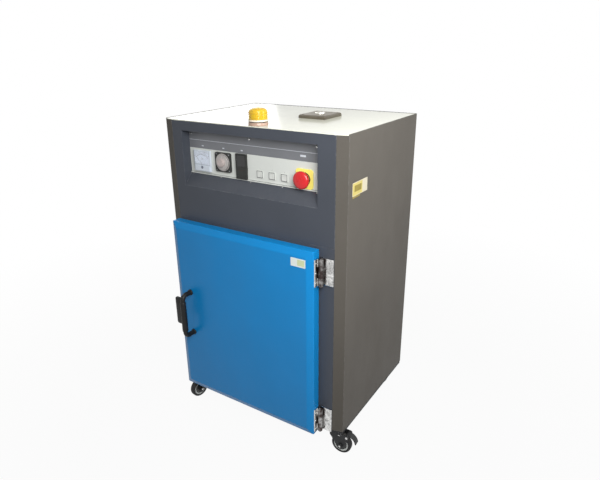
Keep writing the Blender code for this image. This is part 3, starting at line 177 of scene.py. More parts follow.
def hexagon(apothem, limit=np.inf):
    """A hexagon as a radius of angle: the apothem over the cosine of the angle from the nearest flat."""
    angle = angles_round(SMALL)
    return polar(np.minimum(apothem / np.cos(np.mod(angle, np.pi / 3) - np.pi / 6), limit), angle)


def cross(arm, half):
    """A cross as a radius of angle: an arm's end where the angle is near its axis, or else its side."""
    angle = angles_round(SMALL)
    off = np.mod(angle + np.pi / 4, np.pi / 2) - np.pi / 4
    return polar(np.minimum(arm / np.cos(off), half / np.maximum(np.abs(np.sin(off)), 1e-6)), angle)


def rounded(width, height, radius, inset=0.0):
    """A rectangle with round corners: each corner's centre plus its radius along a quarter turn."""
    bend = max(radius - inset, 1e-5)
    half = np.array((width / 2 - inset - bend, height / 2 - inset - bend))
    angle = np.linspace(0, np.pi / 2, 6)[None, :] + np.arange(4)[:, None] * np.pi / 2
    sign = np.array(((1, 1), (-1, 1), (-1, -1), (1, -1)))
    return ((sign * half)[:, None, :] + polar(bend, angle)).reshape(-1, 2)


def layers(outlines, heights):
    """Rings of an outline that changes with height, one ring for each height."""
    flat = np.asarray(outlines, float)
    level = np.broadcast_to(np.asarray(heights, float)[:, None, None], flat.shape[:2] + (1,))
    return np.concatenate((flat, level), -1)


def skin(rings, closed=False):
    """A closed skin over rings of points: quads between neighbours, and a fan on each end ring."""
    rings = np.asarray(rings, float)
    rows, count = rings.shape[:2]
    index = np.arange(rows * count).reshape(rows, count)
    last = rows if closed else rows - 1
    low, high = index[:last], np.roll(index, -1, 0)[:last]
    quads = np.stack((low, np.roll(low, -1, 1), np.roll(high, -1, 1), high), -1).reshape(-1, 4)
    points = rings.reshape(-1, 3)
    if closed:
        return points, quads, np.zeros((0, 3), int)
    hubs = np.stack((rings[0].mean(0), rings[-1].mean(0)))
    start = np.stack((np.full(count, rows * count), np.roll(index[0], -1), index[0]), -1)
    finish = np.stack((np.full(count, rows * count + 1), index[-1], np.roll(index[-1], -1)), -1)
    return np.concatenate((points, hubs)), quads, np.concatenate((start, finish))


def turned(profile, count=FINE, closed=False):
    """A profile of radius and height, turned about the outward axis. A closed profile makes a ring."""
    profile = np.asarray(profile, float)
    return skin(layers(profile[:, :1, None] * circle(1.0, count)[None], profile[:, 1]), closed)


def plate(width, height, radius, steps, closed=False):
    """A rounded plate: the outline drawn in by each step's inset at that step's height."""
    return skin(layers([rounded(width, height, radius, inset) for inset, _ in steps], [z for _, z in steps]), closed)


def slab(width, height, depth, radius, edge=0.00005):
    """A thin plate whose front edge is eased."""
    return plate(width, height, radius, ((0, 0), (0, depth - edge), (edge, depth)))


def window_frame(width, height, wall, depth, radius=0.0012, edge=0.0001):
    """A flat frame: a section of the wall's width and depth carried round a rounded rectangle."""
    steps = ((0, 0), (0, depth - edge), (edge, depth), (wall - edge, depth), (wall, depth - edge), (wall, 0))
    return plate(width, height, radius, steps, closed=True)


def mirrored(profile, top=0.0, between=()):
    """A profile, what stands between, and the profile back again with its heights taken from the top."""
    return [*profile, *between, *((radius, top - height) for radius, height in reversed(profile))]


def carried(path, section, up=(1.0, 0.0, 0.0)):
    """A section of side and rise carried along a path: each point moves by its side across the path and
    its rise along the second direction."""
    path, section, up = (np.asarray(values, float) for values in (path, section, up))
    along = np.gradient(path, axis=0)
    along /= np.linalg.norm(along, axis=1, keepdims=True)
    rise = up - along * (along @ up)[:, None]
    rise /= np.linalg.norm(rise, axis=1, keepdims=True)
    side = np.cross(along, rise)
    across, out = section[None, :, :1] * side[:, None], section[None, :, 1:] * rise[:, None]
    return outward(skin(path[:, None] + (across + out)))


def strip(path, half, thick):
    """A flat strip along a path in the plane of a dial."""
    return carried(path, ((-half, -thick), (half, -thick), (half, thick), (-half, thick)), (0.0, 0.0, 1.0))


def outward(part):
    """The same shell with its faces turned outwards, by the sign of its volume."""
    points, quads, tris = part
    flat = np.concatenate((quads[:, (0, 1, 2)], quads[:, (0, 2, 3)], tris))
    a, b, c = points[flat[:, 0]], points[flat[:, 1]], points[flat[:, 2]]
    if np.einsum("ij,ij->", a, np.cross(b, c)) < 0:
        return points, quads[:, ::-1], tris[:, ::-1]
    return part


def placed(part, places, facing="front", turn=0.0):
    """Copies of a shell: one at each place, turned in its own plane and laid on the facing's directions."""
    points, quads, tris = part
    cosine, sine = math.cos(turn), math.sin(turn)
    spin = np.array(((cosine, -sine, 0), (sine, cosine, 0), (0, 0, 1)))
    laid = points @ spin.T @ np.array(FACING[facing], float)
    places = np.atleast_2d(np.asarray(places, float))
    return copies(laid[None] + places[:, None], quads, tris)


def copies(points, quads, tris):
    """Several sets of the same shell's points as one shell."""
    count, size = points.shape[:2]
    shift = (np.arange(count) * size)[:, None, None]
    return points.reshape(-1, 3), (quads[None] + shift).reshape(-1, 4), (tris[None] + shift).reshape(-1, 3)


def fanned(part, radius, angles):
    """Copies of a shell on an arc: each moved out by the radius and turned to its angle."""
    points, quads, tris = part
    angles = np.asarray(angles, float)
    cosine, sine = np.cos(angles)[:, None], np.sin(angles)[:, None]
    x, y = points[:, 0] + radius, points[:, 1]
    z = np.broadcast_to(points[:, 2], (len(angles), len(points)))
    return copies(np.stack((x * cosine - y * sine, x * sine + y * cosine, z), -1), quads, tris)


def gathered(*parts):
    """Several shells as one."""
    points, quads, tris, shift = [], [], [], 0
    for own_points, own_quads, own_tris in parts:
        points.append(own_points)
        quads.append(own_quads + shift)
        tris.append(own_tris + shift)
        shift += len(own_points)
    return np.concatenate(points), np.concatenate(quads), np.concatenate(tris)


def moved(part, across=0.0, up=0.0, out=0.0):
    """A shell shifted in its own directions."""
    return part[0] + np.array((across, up, out)), part[1], part[2]


def lettering(words, height, depth):
    """Plain letters or numbers as a closed solid, their middle at the origin, pushed out by the depth."""
    curve = bpy.data.curves.new("lettering", "FONT")
    curve.body, curve.size, curve.extrude = words, height, depth / 2
    curve.align_x, curve.align_y, curve.resolution_u = "CENTER", "CENTER", 3
    holder = bpy.data.objects.new("lettering", curve)
    mesh = bpy.data.meshes.new_from_object(holder)
    solid = bmesh.new()
    solid.from_mesh(mesh)
    bmesh.ops.remove_doubles(solid, verts=solid.verts, dist=1e-7)
    bmesh.ops.triangulate(solid, faces=solid.faces)
    points = np.array([vertex.co for vertex in solid.verts], float) + (0, 0, depth / 2)
    tris = np.array([[vertex.index for vertex in face.verts] for face in solid.faces], int)
    solid.free()
    bpy.data.objects.remove(holder)
    bpy.data.curves.remove(curve)
    bpy.data.meshes.remove(mesh)
    return outward((points, np.zeros((0, 4), int), tris))


# The shares of radius and rise that shape a head: its circles, its cross at the crown and at the floor, its levels.
PAN = ((1, 1, 0.93, 0.8, 0.66), ((0.58, 0.13), (0.5, 0.1)), (0, 0.45, 0.75, 0.92, 1.0, 1.0, 0.35))
OVAL = ((1, 0.94, 0.62), ((0.55, 0.12), (0.45, 0.09)), (0, 0.5, 1.0, 1.0, 0.1))


def screw_head(radius, rise, shape=PAN):
    """A head with a cross cut: circles up to the crown, then the cross down to its floor."""
    circles, cuts, levels = shape
    outlines = [circle(radius * share, SMALL) for share in circles]
    outlines += [cross(radius * arm, radius * half) for arm, half in cuts]
    return skin(layers(outlines, np.array(levels) * rise))


def hex_head(apothem, rise):
    """A hexagonal head whose top edge is turned down to a circle."""
    outlines = (hexagon(apothem), hexagon(apothem), hexagon(apothem, apothem * 1.04), circle(apothem * 0.9, SMALL))
    return skin(layers(outlines, np.array((0, 0.75, 0.95, 1.0)) * rise))


def washer(outer, inner, rise):
    """A flat ring with eased edges."""
    ease = rise * 0.3
    profile = ((outer, 0), (outer, rise - ease), (outer - ease, rise), (inner + ease, rise))
    return turned((*profile, (inner, rise - ease), (inner, 0)), SMALL, closed=True)


def both_ends(part, reach):
    """A shell at the reach along its outward axis, and the same turned about to the other end."""
    points, quads, tris = part
    return gathered(moved(part, out=reach), (points * (1, -1, -1) - (0, 0, reach), quads, tris))


def on_axle(part, axis, centre):
    """A shell whose outward axis is laid along a level axle, round the centre."""
    along = Vector(axis).normalized()
    basis = np.array((along.cross(Vector((0, 0, 1))), (0, 0, 1), along), float)
    return outward((part[0] @ basis + np.array(centre), part[1], part[2]))


def added(name, data):
    """A new object in the scene."""
    made = bpy.data.objects.new(name, data)
    bpy.context.scene.collection.objects.link(made)
    return made


def piece(name, part, finish, body="cabinet", instead_of=()):
    """Puts a shell into the scene with its finish, riding on its body, instead of the solids named."""
    points, quads, tris = part
    mesh = bpy.data.meshes.new(name)
    mesh.from_pydata(points.tolist(), [], quads.tolist() + tris.tolist())
    mesh.polygons.foreach_set("use_smooth", np.ones(len(mesh.polygons), bool))
    mesh.set_sharp_from_angle(angle=math.radians(CREASE))
    mesh.materials.append(bpy.data.materials[finish])
    mesh.update()
    made = added(name, mesh)
    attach(made, body)
    if instead_of:
        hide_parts(*instead_of)


def screws(name, head, places, facing="front", body="cabinet"):
    """Plated heads, one at each place."""
    piece(name, placed(head, places, facing), "plated screw", body)


def extent(node):
    """The low corner, the high corner and the middle of a solid's box."""
    low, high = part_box(node)
    return low, high, (low + high) / 2


# Finishes


def feed(tree, sockets, values):
    """Joins each named socket to another, or gives it a value of its own."""
    for key, value in dict(values).items():
        if isinstance(value, bpy.types.NodeSocket):
            tree.links.new(value, sockets[key])
        else:
            sockets[key].default_value = value


def wire(tree, kind, inputs=(), **settings):
    """Adds a node, sets what it is told and feeds its inputs."""
    node = tree.nodes.new(kind)
    for key, value in settings.items():
        setattr(node, key, value)
    feed(tree, node.inputs, inputs)
    return node


def maths(tree, operation, first, second, clamp=False):
    return wire(tree, "ShaderNodeMath", {0: first, 1: second}, operation=operation, use_clamp=clamp).outputs[0]


def vectors(tree, operation, first, second=(0, 0, 0)):
    """The operation on two vectors, as a vector, or the length of the first as a value."""
    node = wire(tree, "ShaderNodeVectorMath", {0: first, 1: second}, operation=operation)
    return node.outputs["Value" if operation == "LENGTH" else "Vector"]


def spread(tree, value, low, high, to_low=0.0, to_high=1.0):
    inputs = {"Value": value, "From Min": low, "From Max": high, "To Min": to_low, "To Max": to_high}
    return wire(tree, "ShaderNodeMapRange", inputs, clamp=True).outputs["Result"]


def blended(tree, factor, first, second):
    return wire(tree, "ShaderNodeMix", {0: factor, 6: first, 7: second}, data_type="RGBA").outputs[2]


def noise(tree, vector, scale, detail=3.0, rough=0.55):
    inputs = {"Vector": vector, "Scale": scale, "Detail": detail, "Roughness": rough}
    return wire(tree, "ShaderNodeTexNoise", inputs).outputs["Fac"]


def bumped(tree, height, depth):
    return wire(tree, "ShaderNodeBump", {"Height": height, "Strength": 1.0, "Distance": depth}).outputs["Normal"]


def new_group(name, inputs, outputs):
    """An empty shader node group with a place and the named inputs, each a value, a vector or a colour by how many
    numbers its default has. Returns its tree, the place, the inputs and where the outputs go."""
    tree = bpy.data.node_groups.new(name, "ShaderNodeTree")
    for socket, default in {"Vector": (0, 0, 0), **inputs}.items():
        kind = {1: "Float", 3: "Vector", 4: "Color"}[np.size(default)]
        made = tree.interface.new_socket(socket, in_out="INPUT", socket_type=f"NodeSocket{kind}")
        made.default_value = default
    for socket in outputs:
        kind = "Color" if socket == "Colour" else "Float"
        tree.interface.new_socket(socket, in_out="OUTPUT", socket_type=f"NodeSocket{kind}")
    given = tree.nodes.new("NodeGroupInput").outputs
    return tree, given["Vector"], given, tree.nodes.new("NodeGroupOutput").inputs


def build_patches():
    """Slow and fine changes of tone, as a sprayed or moulded surface has; on the hinge's plating the same changes are
    painted reflections.
    """
    tree, place, given, out = new_group("Tone patches", {
        "Colour": (0.5, 0.5, 0.5, 1), "Second": (0.4, 0.4, 0.4, 1), "Patch scale": 3.0, "Speck scale": 240.0,
        "Speck": 0.2}, ("Colour", "Mask"))
    slow = spread(tree, noise(tree, place, given["Patch scale"], 4.0, 0.6), 0.3, 0.7)
    fine = spread(tree, noise(tree, place, given["Speck scale"], 2.0, 0.5), 0.3, 0.7)
    speck = maths(tree, "MULTIPLY", maths(tree, "SUBTRACT", fine, 0.5), given["Speck"])
    mask = maths(tree, "ADD", slow, speck, clamp=True)
    feed(tree, out, {"Colour": blended(tree, mask, given["Colour"], given["Second"]), "Mask": mask})


def build_peel():
    """The soft orange peel of sprayed paint, with a finer grain on it."""
    tree, place, given, out = new_group("Orange peel", {
        "Peel scale": 420.0, "Grain scale": 2600.0, "Grain": 0.25}, ("Height",))
    peel = noise(tree, place, given["Peel scale"], 1.0, 0.4)
    grain = maths(tree, "MULTIPLY", noise(tree, place, given["Grain scale"], 2.0, 0.6), given["Grain"])
    feed(tree, out, {"Height": maths(tree, "ADD", peel, grain)})


def build_rubbed_edge():
    """Where an eased edge has been rubbed: a noise cut off at a threshold."""
    tree, place, given, out = new_group("Rubbed edge", {"Amount": 0.5, "Break scale": 60.0}, ("Mask",))
    broken = spread(tree, noise(tree, place, given["Break scale"], 5.0, 0.7), 0.42, 0.60)
    feed(tree, out, {"Mask": maths(tree, "MULTIPLY", broken, given["Amount"], clamp=True)})


def build_brush_lines():
    """Fine lines along one direction, from a noise stretched by the scale."""
    tree, place, given, out = new_group("Brush lines", {"Stretch": (4.0, 900.0, 900.0)}, ("Value", "Height"))
    lines = noise(tree, vectors(tree, "MULTIPLY", place, given["Stretch"]), 1.0, 4.0, 0.65)
    feed(tree, out, {"Value": spread(tree, lines, 0.3, 0.7), "Height": lines})


def build_dust():
    """Dust on faces that look up, thicker in patches."""
    tree, place, given, out = new_group("Settled dust", {"Amount": 0.3, "Scale": 14.0}, ("Mask",))
    normal = wire(tree, "ShaderNodeNewGeometry").outputs["Normal"]
    height = wire(tree, "ShaderNodeSeparateXYZ", {"Vector": normal}).outputs["Z"]
    patches = spread(tree, noise(tree, place, given["Scale"], 6.0, 0.65), 0.35, 0.75)
    lying = maths(tree, "MULTIPLY", spread(tree, height, 0.4, 0.95), patches)
    feed(tree, out, {"Mask": maths(tree, "MULTIPLY", lying, given["Amount"], clamp=True)})


def build_rubs():
    """Long faint rubs and wiped patches that change only how rough a surface is."""
    tree, place, given, out = new_group("Wiped patches", {"Scale": 9.0, "Low": 0.3, "High": 0.4}, ("Roughness",))
    stretched = vectors(tree, "MULTIPLY", place, (1.0, 1.0, 0.35))
    patches = spread(tree, noise(tree, stretched, given["Scale"], 6.0, 0.7), 0.32, 0.68)
    feed(tree, out, {"Roughness": spread(tree, patches, 0.0, 1.0, given["Low"], given["High"])})


def use_group(tree, name, place, values):
    """The outputs of a group that is fed the place and the values."""
    inputs = {"Vector": place, **values}
    return wire(tree, "ShaderNodeGroup", inputs, node_tree=bpy.data.node_groups[name]).outputs


def new_material(name):
    """A material with a Principled shader, and its Object coordinates."""
    material = bpy.data.materials.new(name)
    material.use_nodes = True
    tree = material.node_tree
    tree.nodes.clear()
    shader = tree.nodes.new("ShaderNodeBsdfPrincipled")
    wire(tree, "ShaderNodeOutputMaterial", {"Surface": shader.outputs["BSDF"]})
    return tree, shader, tree.nodes.new("ShaderNodeTexCoord").outputs["Object"]


def shade_of(value, factor):
    return (*[min(1.0, channel * factor) for channel in value[:3]], 1.0)


def wiped(tree, place, rough, **values):
    """Roughness between the two of rough, in wiped patches."""
    return use_group(tree, "Wiped patches", place, {"Low": rough[0], "High": rough[1], **values})["Roughness"]


def dusted(tree, place, amount, shown, grit):
    """A colour under settled dust of the grit's colour, and the dust's mask."""
    mask = use_group(tree, "Settled dust", place, {"Amount": amount})["Mask"]
    return blended(tree, mask, shown, grit), mask


def coated(name, base, rough, second, patch, peel, worn=None, wear=0.3, dust=0.0, coat=0.0, specular=0.5):
    """Sprayed paint or moulded plastic: tone patches, orange peel, wiped patches and dust. Where a worn colour
    is given, a second material of the same make is for the eased edges, and shows that colour in patches."""
    for edge in (False, True) if worn else (False,):
        tree, shader, place = new_material(f"{name} edge" if edge else name)
        shown = use_group(tree, "Tone patches", place, {
            "Colour": base, "Second": shade_of(base, second), "Patch scale": patch, "Speck": 0.3})["Colour"]
        rubbed = wiped(tree, place, rough)
        if edge:
            mask = use_group(tree, "Rubbed edge", place, {"Amount": wear})["Mask"]
            shown = blended(tree, mask, shown, worn)
            rubbed = maths(tree, "ADD", rubbed, maths(tree, "MULTIPLY", mask, 0.15))
        if dust:
            shown, mask = dusted(tree, place, dust, shown, (0.46, 0.44, 0.40, 1))
            rubbed = maths(tree, "ADD", rubbed, maths(tree, "MULTIPLY", mask, 0.4))
        height = use_group(tree, "Orange peel", place, {"Peel scale": peel[0]})["Height"]
        feed(tree, shader.inputs, {
            "Base Color": shown, "Roughness": rubbed, "Normal": bumped(tree, height, peel[1]),
            "Coat Weight": coat, "Coat Roughness": 0.06, "Specular IOR Level": specular})


def metal(name, base, rough, stretch, stain=None, patch=8.0, dust=0.0):
    """Bare metal: brush lines in tone, roughness and height, with stains in patches."""
    tree, shader, place = new_material(name)
    lines = use_group(tree, "Brush lines", place, {"Stretch": stretch})
    shown = blended(tree, lines["Value"], base, shade_of(base, 0.8))
    mask = use_group(tree, "Tone patches", place, {"Patch scale": patch, "Speck": 0.1})["Mask"]
    shown = blended(tree, spread(tree, mask, 0.3, 1.0, 0.0, 0.6), shown, stain or shade_of(base, 0.7))
    rubbed = wiped(tree, place, rough, Scale=22.0)
    if dust:
        shown, _ = dusted(tree, place, dust, shown, (0.4, 0.38, 0.35, 1))
    feed(tree, shader.inputs, {
        "Base Color": shown, "Roughness": rubbed, "Normal": bumped(tree, lines["Height"], 0.00002), "Metallic": 1.0})


def chromed(name, base, barrel, axis, reach):
    """Bright plating over a cast face, with waves in the metal under it, and dark patches and specks in its colour
    that are painted reflections. Within reach of the upright axis the colour goes over to the barrel's dark brown,
    with bright patches left in it."""
    tree, shader, place = new_material(name)
    # Dark patches and specks in the plating's colour are painted reflections.
    tones = use_group(tree, "Tone patches", place, {
        "Colour": base, "Second": shade_of(base, 0.36), "Patch scale": 95.0, "Speck scale": 700.0, "Speck": 0.5})
    rubbed = wiped(tree, place, (0.06, 0.22), Scale=60.0)
    waves = noise(tree, place, 110.0)
    # Near the upright axis the colour goes to the dark brown of the barrel, broken by bright patches from a noise.
    flat = vectors(tree, "MULTIPLY", vectors(tree, "SUBTRACT", place, (*axis, 0.0)), (1.0, 1.0, 0.0))
    kept = spread(tree, noise(tree, place, 34.0), 0.46, 0.62, 1.0, 0.45)
    inside = spread(tree, vectors(tree, "LENGTH", flat), reach, reach - 0.0006)
    inside = maths(tree, "MULTIPLY", inside, kept)
    feed(tree, shader.inputs, {
        "Base Color": blended(tree, inside, tones["Colour"], barrel),
        "Roughness": maths(tree, "ADD", rubbed, maths(tree, "MULTIPLY", inside, 0.25)),
        "Normal": bumped(tree, waves, 0.0010), "Metallic": 1.0})


def clear(name, tint, rough=(0.04, 0.12), weight=0.9, ior=1.49, subsurface=0.0):
    """Clear or smoked plastic: wiped patches in its polish."""
    tree, shader, place = new_material(name)
    tones = use_group(tree, "Tone patches", place, {
        "Colour": tint, "Second": shade_of(tint, 0.93), "Patch scale": 30.0, "Speck": 0.1})
    rubbed = wiped(tree, place, rough, Scale=40.0)
    feed(tree, shader.inputs, {
        "Base Color": tones["Colour"], "Roughness": rubbed, "Transmission Weight": weight, "IOR": ior})
    if subsurface:
        feed(tree, shader.inputs, {
            "Subsurface Weight": subsurface, "Subsurface Radius": (0.01, 0.006, 0.002), "Subsurface Scale": 1.0})


BARE_STEEL = (0.30, 0.30, 0.30, 1)
# Paints and plastics: name, colour, least and most roughness, shade of the second tone, scale of its patches,
# scale and depth of the peel, and what differs from the plain make. A word for a colour is a member of the colours.
COATS = (
    ("cabinet paint", "cabinet", (0.36, 0.48), 0.86, 3.0, (380, 0.00020),
     {"worn": BARE_STEEL, "wear": 0.2, "dust": 0.06, "specular": 0.22}),
    # The sides' paint: the dark body paint with a painted reflection of the surroundings in its colour.
    ("side paint", "side", (0.34, 0.46), 0.84, 2.2, (380, 0.00020),
     {"worn": BARE_STEEL, "wear": 0.25, "specular": 0.05}),
    ("base paint", "under", (0.4, 0.55), 0.8, 6.0, (380, 0.00020), {"worn": BARE_STEEL, "wear": 0.4, "specular": 0.2}),
    ("door paint", "door", (0.28, 0.38), 0.90, 2.5, (460, 0.00012), {"specular": 0.28}),
    ("top paint", "top", (0.10, 0.17), 0.97, 4.0, (300, 0.00008),
     {"worn": (0.62, 0.62, 0.55, 1), "dust": 0.05, "coat": 0.03, "specular": 0.25}),
    ("panel plate", "panel", (0.36, 0.46), 0.96, 12.0, (900, 0.00005), {"worn": (0.85, 0.85, 0.84, 1)}),
    ("panel band", "band", (0.34, 0.46), 0.90, 9.0, (900, 0.00005), {"worn": (0.5, 0.5, 0.52, 1)}),
    ("instrument black", (0.020, 0.021, 0.019, 1), (0.3, 0.45), 0.7, 40.0, (1500, 0.00006),
     {"worn": (0.08, 0.08, 0.08, 1), "wear": 0.4, "specular": 0.35}),
    ("key black", (0.028, 0.029, 0.027, 1), (0.4, 0.55), 0.7, 60.0, (1500, 0.00005), {"specular": 0.3}),
    ("handle black", (0.014, 0.014, 0.014, 1), (0.34, 0.5), 0.6, 30.0, (1300, 0.0001), {"specular": 0.2}),
    ("dial skirt", tone(178, 173, 170), (0.22, 0.36), 0.85, 60.0, (1500, 0.00004), {"coat": 0.3}),
    ("dial grip", tone(190, 178, 174), (0.3, 0.45), 0.8, 60.0, (1500, 0.00005), {}),
    ("button cap", tone(210, 212, 207), (0.24, 0.36), 0.93, 60.0, (1500, 0.00004), {"coat": 0.2}),
    # The button frames' dark grey is partly the frames' own colour and partly painted shade round the raised caps.
    ("bezel grey", tone(78, 80, 80), (0.32, 0.45), 0.8, 40.0, (1500, 0.00005), {}),
    ("meter body", tone(206, 214, 224), (0.12, 0.24), 0.95, 40.0, (800, 0.00003), {"coat": 0.5}),
    ("meter card", tone(234, 238, 248), (0.5, 0.62), 0.97, 50.0, (2400, 0.00003), {}),
    ("meter line", tone(118, 124, 138), (0.4, 0.5), 0.85, 60.0, (1500, 0.00003), {}),
    ("stop red", "red", (0.24, 0.34), 0.86, 25.0, (700, 0.00005), {"coat": 0.15}),
    ("stop yellow", "yellow", (0.32, 0.44), 0.92, 25.0, (900, 0.00005), {"worn": (0.9, 0.8, 0.4, 1)}),
    ("lamp red", tone(92, 22, 22), (0.2, 0.3), 0.8, 200.0, (1500, 0.00002), {}),
    ("lamp cream", "cream", (0.25, 0.38), 0.92, 25.0, (700, 0.00005), {"coat": 0.2}),
    ("lamp foot", "foot", (0.3, 0.42), 0.8, 25.0, (700, 0.00005), {"coat": 0.1}),
    ("pale print", "print_light", (0.4, 0.5), 0.9, 80.0, (1800, 0.00002), {}),
    ("dark print", "print_dark", (0.4, 0.5), 0.8, 80.0, (1800, 0.00002), {}),
    ("label stock", tone(198, 190, 166), (0.3, 0.42), 0.93, 30.0, (1500, 0.00003), {}),
    ("label white", tone(220, 228, 224), (0.3, 0.42), 0.94, 30.0, (1500, 0.00003), {}),
    ("label olive", tone(136, 120, 28), (0.3, 0.42), 0.85, 40.0, (1500, 0.00003), {}),
    ("label yellow", tone(196, 180, 98), (0.3, 0.42), 0.9, 40.0, (1500, 0.00003), {}),
    ("label lime", tone(204, 214, 172), (0.3, 0.42), 0.9, 40.0, (1500, 0.00003), {}),
    ("seal rubber", (0.022, 0.022, 0.022, 1), (0.55, 0.75), 0.7, 20.0, (1200, 0.0001), {"specular": 0.3}),
    ("tyre rubber", (0.014, 0.014, 0.015, 1), (0.5, 0.72), 0.7, 40.0, (1200, 0.00012),
     {"dust": 0.2, "specular": 0.3}),
    ("rim plastic", tone(196, 200, 196), (0.3, 0.45), 0.85, 40.0, (900, 0.00006), {}),
    ("hub plastic", tone(58, 60, 60), (0.3, 0.45), 0.75, 40.0, (900, 0.00006), {"specular": 0.3}),
    ("caster steel", (0.018, 0.019, 0.020, 1), (0.32, 0.48), 0.7, 30.0, (800, 0.00008),
     {"worn": (0.25, 0.25, 0.24, 1), "wear": 0.6, "dust": 0.05, "specular": 0.3}),
)


def build_finishes(colours):
    """Every finish on the dryer."""
    for build in (build_patches, build_peel, build_rubbed_edge, build_brush_lines, build_dust, build_rubs):
        build()
    for name, base, *make, differs in COATS:
        coated(name, tuple(getattr(colours, base)) if isinstance(base, str) else base, *make, **differs)
    metal("stainless", (0.60, 0.60, 0.59, 1), (0.24, 0.36), (700.0, 8.0, 700.0))
    metal("tray steel", (0.56, 0.56, 0.55, 1), (0.26, 0.40), (8.0, 700.0, 700.0), (0.30, 0.28, 0.26, 1))
    metal("vent metal", (0.22, 0.20, 0.16, 1), (0.42, 0.58), (10.0, 600.0, 600.0), (0.12, 0.10, 0.08, 1), dust=0.3)
    metal("bright disc", (0.86, 0.85, 0.78, 1), (0.2, 0.34), (600.0, 600.0, 600.0))
    metal("plated screw", (0.66, 0.66, 0.65, 1), (0.18, 0.32), (900.0, 900.0, 900.0), patch=120.0)
    hinge = next(joint for joint in frame["joints"] if joint["name"] == "door_hinge")
    chromed("hinge chrome", (0.86, 0.86, 0.85, 1), (0.058, 0.043, 0.041, 1), hinge["pos_m"][:2], KNUCKLE + 0.0008)
    clear("clear cover", (0.94, 0.97, 1.0, 1))
    clear("smoked window", (0.03, 0.03, 0.03, 1), weight=0.3)
    clear("lamp lens", tuple(colours.lens), rough=(0.12, 0.25), weight=0.2, ior=1.46, subsurface=0.25)


# Each solid's finish, and how wide its folded or moulded edges are eased, by the start of its name.
NODE_FINISHES = (
    ("base_frame", "base paint", 0.0006), ("side_panel", "side paint", 0.0012),
    ("inner_wall", "cabinet paint", 0.0006), ("chamber", "cabinet paint", 0.0006),
    ("back_wall", "cabinet paint", 0.0010), ("control_housing", "cabinet paint", 0.0010),
    ("top_panel", "top paint", 0.0006), ("liner", "stainless", 0), ("rack", "stainless", 0.0003),
    ("tray", "tray steel", 0.0004), ("panel_band", "panel band", 0.0004), ("panel_plate", "panel plate", 0.0004),
    ("ammeter", "meter body", 0), ("timer_housing", "instrument black", 0.0005), ("timer_dial", "dial skirt", 0),
    ("controller", "instrument black", 0.0006), ("stop_plate", "stop yellow", 0.0006), ("stop_head", "stop red", 0),
    ("beacon_base", "lamp foot", 0), ("beacon_lens", "lamp lens", 0), ("vent_box", "vent metal", 0.0008),
    ("hinge", "hinge chrome", 0.0006), ("door_leaf", "door paint", 0), ("door_inner_panel", "stainless", 0),
    ("door_seal", "seal rubber", 0), ("door_handle", "handle black", 0), ("push_button", "button cap", 0),
    ("fork", "caster steel", 0.0004), ("wheel", "tyre rubber", 0), ("pedal", "caster steel", 0.0006),
)


class DRYER_OT_finishes(bpy.types.Operator):
    """Build the finishes and put one on every solid"""

    bl_idname = "dryer.finishes"
    bl_label = "Finishes"

    def execute(self, context):
        build_finishes(context.scene.dryer_colours)
        for name, node in frame["nodes"].items():
            finish, width = next(row[1:] for row in NODE_FINISHES if name.startswith(row[0]))
            node.data.materials.clear()
            node.data.materials.append(bpy.data.materials[finish])
            node.modifiers.new("Weld", "WELD").merge_threshold = 0.00001
            if width:
                ease = node.modifiers.new("Ease", "BEVEL")
                ease.width, ease.segments, ease.limit_method = width, 2, "ANGLE"
                ease.angle_limit = math.radians(EASED)
                worn = bpy.data.materials.get(f"{finish} edge")
                if worn:
                    node.data.materials.append(worn)
                    ease.material = 1
        return {"FINISHED"}


def seen_rays(tree):
    """1 for what the camera, a reflection or clear plastic sees."""
    path = tree.nodes.new("ShaderNodeLightPath").outputs
    seen = maths(tree, "MAXIMUM", path["Is Camera Ray"], path["Is Glossy Ray"])
    return maths(tree, "MAXIMUM", seen, path["Is Transmission Ray"])


def add_camera(scene, stage):
    """The camera looks along its yaw and pitch, and its roll turns the two directions across that."""
    yaw, pitch, roll = (math.radians(value) for value in (stage.yaw, stage.pitch, stage.roll))
    ahead = Vector((-math.sin(yaw) * math.cos(pitch), math.cos(yaw) * math.cos(pitch), -math.sin(pitch)))
    level = Vector((math.cos(yaw), math.sin(yaw), 0))
    down = ahead.cross(level)
    right = math.cos(roll) * level + math.sin(roll) * down
    lower = -math.sin(roll) * level + math.cos(roll) * down
    camera = added("camera", bpy.data.cameras.new("camera"))
    camera.data.lens, camera.data.sensor_width = stage.lens, 36.0
    camera.matrix_world = Matrix.Translation(CAMERA_AT) @ Matrix((right, -lower, -ahead)).transposed().to_4x4()
    scene.camera = camera


def add_lamps(stage):
    for name, size, place in LAMPS:
        light = bpy.data.lights.new(f"{name} lamp", "AREA")
        light.energy, light.size = getattr(stage, name), size
        lamp = added(f"{name} lamp", light)
        lamp.location = place
        lamp.visible_camera = False
        lamp.rotation_mode = "QUATERNION"
        lamp.rotation_quaternion = (Vector(LAMPS_FACE) - Vector(place)).to_track_quat("-Z", "Y")


def add_world(scene, stage):
    """Even light, white where it is seen."""
    world = scene.world = bpy.data.worlds.new("even light")
    world.use_nodes = True
    tree = world.node_tree
    tree.nodes.clear()
    strength = spread(tree, seen_rays(tree), 0.0, 1.0, stage.world, 1.0)
    light = wire(tree, "ShaderNodeBackground", {"Color": (1, 1, 1, 1), "Strength": strength})
    wire(tree, "ShaderNodeOutputWorld", {"Surface": light.outputs[0]})


